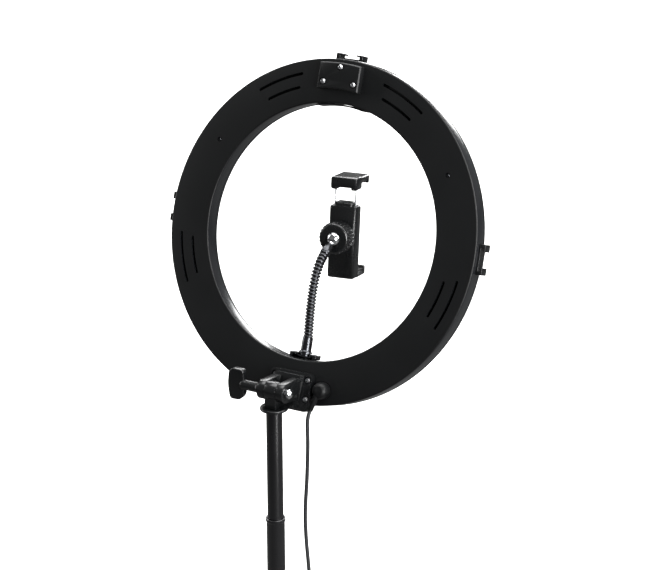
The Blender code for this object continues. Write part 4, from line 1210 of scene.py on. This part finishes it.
class RINGLIGHT_OT_ring_fittings(bpy.types.Operator):
    """Top block, cold shoes, inner pad, cable gland and the bright screws"""

    bl_idname = "ring_light.ring_fittings"
    bl_label = "Ring fittings"

    def execute(self, context):
        sizes = context.scene.ring_light_sizes
        refined("top_pad", "light", "shell", "satin_black_plastic", 0.6 * MM, 3)
        for name in ("shoe_top", "shoe_left", "shoe_right", "shoe_bottom"):
            refined(name, "light", "fittings", "satin_black_plastic", 0.35 * MM)
        refined("inner_pad", "light", "fittings", "satin_black_plastic", 0.4 * MM)
        refined("cable_gland", "light", "shell", "black_plastic", 0.3 * MM)
        self.screws(sizes)
        return {"FINISHED"}

    @staticmethod
    def screws(sizes):
        """Pan heads with a cross recess, standing in their counterbores."""
        top = [(0, 142.3, 15.8), (-14.8, 128.5, 15.8), (14.8, 128.5, 15.8)]
        plate = [(side * x, v, 14.9) for side in (-1, 1) for x, v in ((16.2, -127.1), (16.6, -143.6))]
        for name, spots, nodes in (
            ("top_screws", top, [f"top_screw_{i}" for i in (1, 2, 3)]),
            ("bracket_screws", plate, [f"bracket_screw_{i}" for i in (1, 2, 3, 4)]),
        ):
            heads = grown(
                tree_of(screw_heads_tree),
                points_mesh([Vector(p) * MM for p in spots]),
                {"Radius": sizes.screw_radius * (0.88 if name == "top_screws" else 1), "Height": 1.4 * MM},
                finish("zinc"),
            )
            shanks = [
                moved(
                    turned(
                        [(0, 1.4 * MM), (1.35 * MM, 1.2 * MM), (1.35 * MM, -3.2 * MM), (0, -3.2 * MM)],
                        16,
                        closed=False,
                    ),
                    Matrix.Translation(Vector(p) * MM - Vector((0, 0, 0.9 * MM))),
                )
                for p in spots
            ]
            for shank in shanks:
                shank.materials.append(finish("zinc"))
            mesh = smooth(joined(heads, *shanks), 30)
            piece(name, moved(mesh, RING), "light", "zinc", "chromed_steel", *nodes)


class RINGLIGHT_OT_tilt_head(bpy.types.Operator):
    """Hinge bracket, turning block, cross bolt and wing knob"""

    bl_idname = "ring_light.tilt_head"
    bl_label = "Tilt head"

    def execute(self, context):
        refined("tilt_bracket", "light", "fittings", "black_plastic", 0.5 * MM)
        refined("tilt_block", "head", "fittings", "black_plastic", 0.35 * MM)
        refined("tilt_bolt", "light", "bright", "chromed_steel", 0.2 * MM)
        self.knob()
        return {"FINISHED"}

    @staticmethod
    def knob():
        """A turned neck that widens into a flat wing."""
        neck = turned(
            rounded_profile(
                [
                    (5.2 * MM, -13.0 * MM),
                    (5.2 * MM, -15.2 * MM),
                    (4.6 * MM, -16.0 * MM),
                    (4.5 * MM, -27.0 * MM),
                    (5.2 * MM, -30.5 * MM),
                    (3.2 * MM, -33.0 * MM),
                    (3.1 * MM, -13.0 * MM),
                ],
                0.5 * MM,
            ),
            48,
        )
        moved(neck, Matrix.Rotation(math.radians(90), 4, "Y"))
        outline = [
            (-28.6, -8, 2.0),
            (-28.6, 12.5, 1.5),
            (-31, 14.2, 1.5),
            (-40.5, 14.2, 2.0),
            (-43.6, 11, 2.5),
            (-44.6, 2, 6.0),
            (-44.6, -3, 6.0),
            (-43.4, -11.5, 2.0),
            (-41.8, -14.2, 2.0),
            (-33.5, -14.2, 2.5),
            (-30, -11, 2.5),
        ]
        outline = rounded_profile([(x * MM, z * MM, r * MM) for x, z, r in outline], 0, 4)
        wing = edges_rounded(prism(outline, -3.2 * MM, 3.2 * MM), 1.1 * MM, 4)
        moved(wing, Matrix.Rotation(math.radians(90), 4, "X"))
        mesh = moved(smooth(joined(neck, wing), 40), TILT)
        piece("tilt_knob_finished", mesh, "knob", "fittings", "black_plastic", "tilt_knob")


class RINGLIGHT_OT_mast(bpy.types.Operator):
    """Collar, the two telescoping tubes, the grip tube and its cap"""

    bl_idname = "ring_light.mast"
    bl_label = "Mast"

    def execute(self, context):
        self.collar()
        self.tube("tube_upper", "upper_mast", 7.0, 6.1)
        self.second_tube()
        self.grip()
        return {"FINISHED"}

    @staticmethod
    def on_axis(mesh):
        return moved(mesh, Matrix.Translation((0, MAST_Y, 0)))

    def collar(self):
        low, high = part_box("mast_collar")
        top, under = high.z, high.z - 2.4 * MM
        profile = [
            (12.2 * MM, top, 0.9 * MM),
            (12.2 * MM, under, 0.7 * MM),
            (5.8 * MM, under, 0.2 * MM),
            (5.8 * MM, low.z, 0.4 * MM),
            (3.4 * MM, low.z, 0.2 * MM),
            (3.4 * MM, top, 0.3 * MM),
        ]
        mesh = self.on_axis(smooth(turned(rounded_profile(profile, 0.3 * MM, 4), 72), 45))
        piece("mast_collar_finished", mesh, "upper_mast", "fittings", "black_plastic", "mast_collar")

    def tube(self, node, body, radius, bore):
        low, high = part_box(node)
        profile = [(radius, high.z), (radius, low.z), (bore, low.z), (bore, high.z)]
        profile = [(r * MM, h, 0.3 * MM) for r, h in profile]
        mesh = self.on_axis(smooth(turned(rounded_profile(profile, 0.3 * MM), 64), 45))
        piece(node + "_finished", mesh, body, "tubes", "black_lacquered_tube", node)

    def second_tube(self):
        """The second tube, with the pressed collar at its mouth."""
        low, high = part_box("tube_second")
        top = high.z
        profile = [
            (8.7 * MM, top, 0.5 * MM),
            (8.7 * MM, top - 2.8 * MM, 0.6 * MM),
            (8.0 * MM, top - 3.5 * MM, 0.4 * MM),
            (8.0 * MM, low.z, 0.3 * MM),
            (7.4 * MM, low.z, 0.2 * MM),
            (7.4 * MM, top, 0.3 * MM),
        ]
        mesh = self.on_axis(smooth(turned(rounded_profile(profile, 0.3 * MM, 4), 64), 45))
        piece("tube_second_finished", mesh, "lower_mast", "tubes", "black_lacquered_tube", "tube_second")

    def grip(self):
        """The widest tube, closed at its foot, and the ribbed cap at its top."""
        low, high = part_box("grip_tube")
        profile = [
            (11.5 * MM, high.z, 0.3 * MM),
            (11.5 * MM, low.z, 2.5 * MM),
            (0, low.z, 0),
            (0, low.z + 3 * MM, 0),
            (9.1 * MM, low.z + 3 * MM, 0.2 * MM),
            (9.1 * MM, high.z, 0.2 * MM),
        ]
        mesh = turned(rounded_profile(profile, 0.3 * MM, 4), 72)
        mesh = self.on_axis(smooth(mesh, 45))
        piece("grip_tube_finished", mesh, "stand", "tubes", "black_lacquered_tube", "grip_tube")
        low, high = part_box("grip_cap")
        top = high.z
        profile = [
            (12.9 * MM, top, 1.6 * MM),
            (12.9 * MM, low.z, 0.8 * MM),
            (11.8 * MM, low.z, 0.2 * MM),
            (11.8 * MM, top - 2.7 * MM, 0.2 * MM),
            (8.6 * MM, top - 2.7 * MM, 0.2 * MM),
            (8.6 * MM, top, 0.5 * MM),
        ]
        cap = turned(rounded_profile(profile, 0.3 * MM, 4), 72)
        cap.materials.append(finish("fittings"))
        ribs = round_row(36, 12.85 * MM, (0.7 * MM, 0.9 * MM, 11 * MM), (top + low.z) / 2 - 0.5 * MM, "fittings")
        ribs = edges_rounded(ribs, 0.2 * MM)
        mesh = self.on_axis(smooth(joined(cap, ribs), 45))
        piece("grip_cap_finished", mesh, "stand", "fittings", "black_plastic", "grip_cap")


class RINGLIGHT_OT_tripod(bpy.types.Operator):
    """Hub, three legs and their rubber boots"""

    bl_idname = "ring_light.tripod"
    bl_label = "Tripod"

    def execute(self, context):
        refined("leg_hub", "stand", "fittings", "black_plastic", 0.5 * MM)
        for name in ("front", "left", "right"):
            body = name + "_leg"
            refined("leg_" + name, body, "tubes", "black_lacquered_tube", 0.35 * MM)
            refined("foot_" + name, body, "rubber", "rubber", 0.5 * MM)
        return {"FINISHED"}


class RINGLIGHT_OT_arm(bpy.types.Operator):
    """Flexible arm: foot, ferrules, winding in two lengths, and the chromed ball"""

    bl_idname = "ring_light.arm"
    bl_label = "Flexible arm"

    base = (-91, -3)
    rise = (-61, 2)
    bend = (-35, 6.5)
    end = (-19, -8.6)
    ball = (-4.7, -22.1)

    def execute(self, context):
        self.windings(context.scene.ring_light_sizes)
        self.foot()
        self.top()
        return {"FINISHED"}

    @staticmethod
    def spot(v, n):
        return Vector((0, v * MM, n * MM))

    def along(self, t):
        p = [self.spot(*q) for q in (self.base, self.rise, self.bend, self.end)]
        s = 1 - t
        return s**3 * p[0] + 3 * s**2 * t * p[1] + 3 * s * t**2 * p[2] + t**3 * p[3]

    def windings(self, sizes):
        """Two lengths that meet in the middle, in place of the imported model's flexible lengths."""
        halves = (
            ("winding_lower", 0.0, 0.53, "light", "arm_middle", (0.08, 0.5), ("flex_lower", "flex_middle")),
            ("winding_upper", 0.53, 1.0, "arm_middle", "arm_top", (0.56, 0.94), ("flex_upper",)),
        )
        for name, start, end, body_a, body_b, limits, nodes in halves:
            path = [RING @ self.along(start + (end - start) * i / 40) for i in range(41)]
            wire = grown(
                tree_of(winding_tree),
                path_mesh(path),
                {"Pitch": sizes.rib_pitch, "Radius": sizes.arm_radius, "Wire": sizes.rib_radius},
                finish("arm"),
            )
            core = swept(path, sizes.arm_radius - sizes.rib_radius * 1.25, 20)
            core.materials.append(finish("fittings"))
            mesh = smooth(joined(wire, core), 60)
            mesh.name = name
            ob = bpy.data.objects.new(name, mesh)
            bpy.context.scene.collection.objects.link(ob)
            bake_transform(ob)
            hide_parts(*nodes)

    def foot(self):
        """The turned ferrule on its square foot in the cold shoe."""
        low = -109 * MM
        profile = [
            (0, -91.6 * MM),
            (3.6 * MM, -91.6 * MM),
            (4.5 * MM, -92.3 * MM),
            (4.7 * MM, -93.2 * MM),
            (4.7 * MM, -103.6 * MM),
            (5.2 * MM, -104.3 * MM),
            (6.0 * MM, -104.7 * MM),
            (6.0 * MM, -106.0 * MM),
            (4.4 * MM, -106.1 * MM),
            (4.4 * MM, low),
            (0, low),
        ]
        upright = Matrix.Translation((0, 0, self.base[1] * MM)) @ Matrix.Rotation(math.radians(-90), 4, "X")
        barrel = moved(turned(profile, 48, closed=False), upright)
        floor = -109.9 * MM
        plate = block((-9.1 * MM, floor, -7.6 * MM), (9.1 * MM, floor + 1.6 * MM, 1.8 * MM))
        plate = edges_rounded(plate, 0.3 * MM)
        mesh = moved(smooth(joined(barrel, plate), 35), RING)
        piece("arm_ferrule_finished", mesh, "light", "arm", "black_nickel", "arm_ferrule")

    def top(self):
        """The upper ferrule, and the ball on its waisted neck."""
        start, ball = self.spot(*self.end), self.spot(*self.ball)
        line = (ball - start).normalized()
        turn = Vector((0, 0, 1)).rotation_difference(line).to_matrix().to_4x4()
        place = RING @ Matrix.Translation(start) @ turn
        profile = [
            (0, 11.6 * MM),
            (3.2 * MM, 11.6 * MM),
            (3.7 * MM, 11.0 * MM),
            (4.6 * MM, 2.4 * MM),
            (4.7 * MM, 1.4 * MM),
            (4.3 * MM, 0.6 * MM),
            (0, 0.6 * MM),
        ]
        ferrule = smooth(turned(profile, 48, closed=False), 40)
        piece("ferrule_upper_finished", moved(ferrule, place), "arm_top", "arm", "black_nickel", "ferrule_upper")
        radius = 6.6 * MM
        centre = (ball - start).length
        waist = [(2.3 * MM, 11.9 * MM), (2.3 * MM, centre - 6.9 * MM)]
        sphere = []
        for step in range(25):
            angle = math.radians(-68 + 158 * step / 24)
            sphere.append((radius * math.cos(angle), centre + radius * math.sin(angle)))
        profile = [(0, 11.9 * MM)] + waist + sphere[:-1] + [(0, centre + radius)]
        stud = smooth(turned(profile[::-1], 56, closed=False), 50)
        piece("ball_stud_finished", moved(stud, place), "arm_top", "bright", "chromed_steel", "ball_stud")


class RINGLIGHT_OT_clamp(bpy.types.Operator):
    """Phone clamp: ball seat, gripped lock ring, body, rods, jaw and rubber pads"""

    bl_idname = "ring_light.clamp"
    bl_label = "Phone clamp"

    def execute(self, context):
        refined("ball_seat", "seat", "fittings", "black_plastic", 0.3 * MM)
        self.lock_ring(context.scene.ring_light_sizes)
        refined("clamp_body", "clamp", "fittings", "satin_black_plastic", 0.5 * MM, 3)
        refined("upper_jaw", "jaw", "fittings", "satin_black_plastic", 0.5 * MM, 3)
        self.pads()
        self.rods()
        return {"FINISHED"}

    @staticmethod
    def lock_ring(sizes):
        """A cupped nut with raised grips round it and a rounded lip that holds the ball."""
        seat = 6.9 * MM
        lip = [(seat * math.cos(math.radians(a)), seat * math.sin(math.radians(a))) for a in (-26, -20, -13, -6, 0)]
        profile = [
            (13.4 * MM, 12.4 * MM, 0.6 * MM),
            (13.4 * MM, -1.8 * MM, 1.3 * MM),
            (11.8 * MM, -3.0 * MM, 1.0 * MM),
            *lip,
            (seat, 1.1 * MM, 0.2 * MM),
            (11.9 * MM, 1.1 * MM, 0.2 * MM),
            (11.9 * MM, 12.4 * MM, 0.2 * MM),
        ]
        body = turned(rounded_profile(profile, 0, 4), 96)
        body.materials.append(finish("fittings"))
        grips = round_row(sizes.knurl_count, 13.55 * MM, (1.4 * MM, 1.9 * MM, 12.2 * MM), 5.7 * MM, "fittings")
        grips = edges_rounded(grips, 0.45 * MM, 3)
        mesh = moved(smooth(joined(body, grips), 40), CLAMP @ FORWARD)
        piece("lock_ring_finished", mesh, "ring_nut", "fittings", "black_plastic", "lock_ring")

    @staticmethod
    def pads():
        """Ribbed rubber strips on both lips."""
        for node, body, low, high in (
            ("lower_pad", "clamp", (-11, 34.2, -34.8), (11, 46.1, -33.8)),
            ("upper_pad", "jaw", (-11, 33.6, 44.9), (11, 47.1, 45.9)),
        ):
            base = block([x * MM for x in low], [x * MM for x in high])
            cuts = []
            for step in range(7):
                x = (-9 + 3 * step) * MM
                rib_low = high[2] - 0.35 if node == "lower_pad" else low[2] - 1
                rib_high = high[2] + 1 if node == "lower_pad" else low[2] + 0.35
                cuts.append(block((x - 0.5 * MM, 30 * MM, rib_low * MM), (x + 0.5 * MM, 50 * MM, rib_high * MM)))
            mesh = moved(smooth(cut_away(base, *cuts)), CLAMP)
            piece(node + "_finished", mesh, body, "rubber", "rubber", node)

    @staticmethod
    def rods():
        """Two plated guide rods with rounded ends."""
        for side, name in ((-1, "rod_left"), (1, "rod_right")):
            profile = [
                (0, 46.6 * MM),
                (0.7 * MM, 46.5 * MM),
                (1.0 * MM, 46.1 * MM),
                (1.0 * MM, -17.5 * MM),
                (0.7 * MM, -17.9 * MM),
                (0, -18 * MM),
            ]
            rod = smooth(turned(profile, 28, closed=False), 40)
            place = CLAMP @ Matrix.Translation((side * 9.6 * MM, 25.5 * MM, 0))
            piece(name + "_finished", moved(rod, place), "jaw", "zinc", "chromed_steel", name)


class RINGLIGHT_PT_panel(bpy.types.Panel):
    """Sizes, colours and building steps of the ring light"""

    bl_label = "Ring light"
    bl_idname = "RINGLIGHT_PT_panel"
    bl_space_type = "VIEW_3D"
    bl_region_type = "UI"
    bl_category = "Ring light"

    def draw(self, context):
        layout = self.layout
        for group in (context.scene.ring_light_sizes, context.scene.ring_light_colours):
            box = layout.box()
            for name in group.__annotations__:
                box.prop(group, name)
        for step in STEPS:
            layout.operator(step.bl_idname)


STEPS = (
    RINGLIGHT_OT_stage,
    RINGLIGHT_OT_cable,
    RINGLIGHT_OT_ring,
    RINGLIGHT_OT_ring_fittings,
    RINGLIGHT_OT_tilt_head,
    RINGLIGHT_OT_mast,
    RINGLIGHT_OT_tripod,
    RINGLIGHT_OT_arm,
    RINGLIGHT_OT_clamp,
)
CLASSES = (RingLightSizes, RingLightColours, *STEPS, RINGLIGHT_PT_panel)


def register():
    for each in CLASSES:
        bpy.utils.register_class(each)
    bpy.types.Scene.ring_light_sizes = bpy.props.PointerProperty(type=RingLightSizes)
    bpy.types.Scene.ring_light_colours = bpy.props.PointerProperty(type=RingLightColours)


def unregister():
    del bpy.types.Scene.ring_light_colours
    del bpy.types.Scene.ring_light_sizes
    for each in reversed(CLASSES):
        bpy.utils.unregister_class(each)


def main():
    register()
    bpy.ops.ring_light.stage()
    bpy.ops.ring_light.cable()
    bpy.ops.ring_light.ring()
    bpy.ops.ring_light.ring_fittings()
    bpy.ops.ring_light.tilt_head()
    bpy.ops.ring_light.mast()
    bpy.ops.ring_light.tripod()
    bpy.ops.ring_light.arm()
    bpy.ops.ring_light.clamp()


if __name__ == "__main__":
    main()
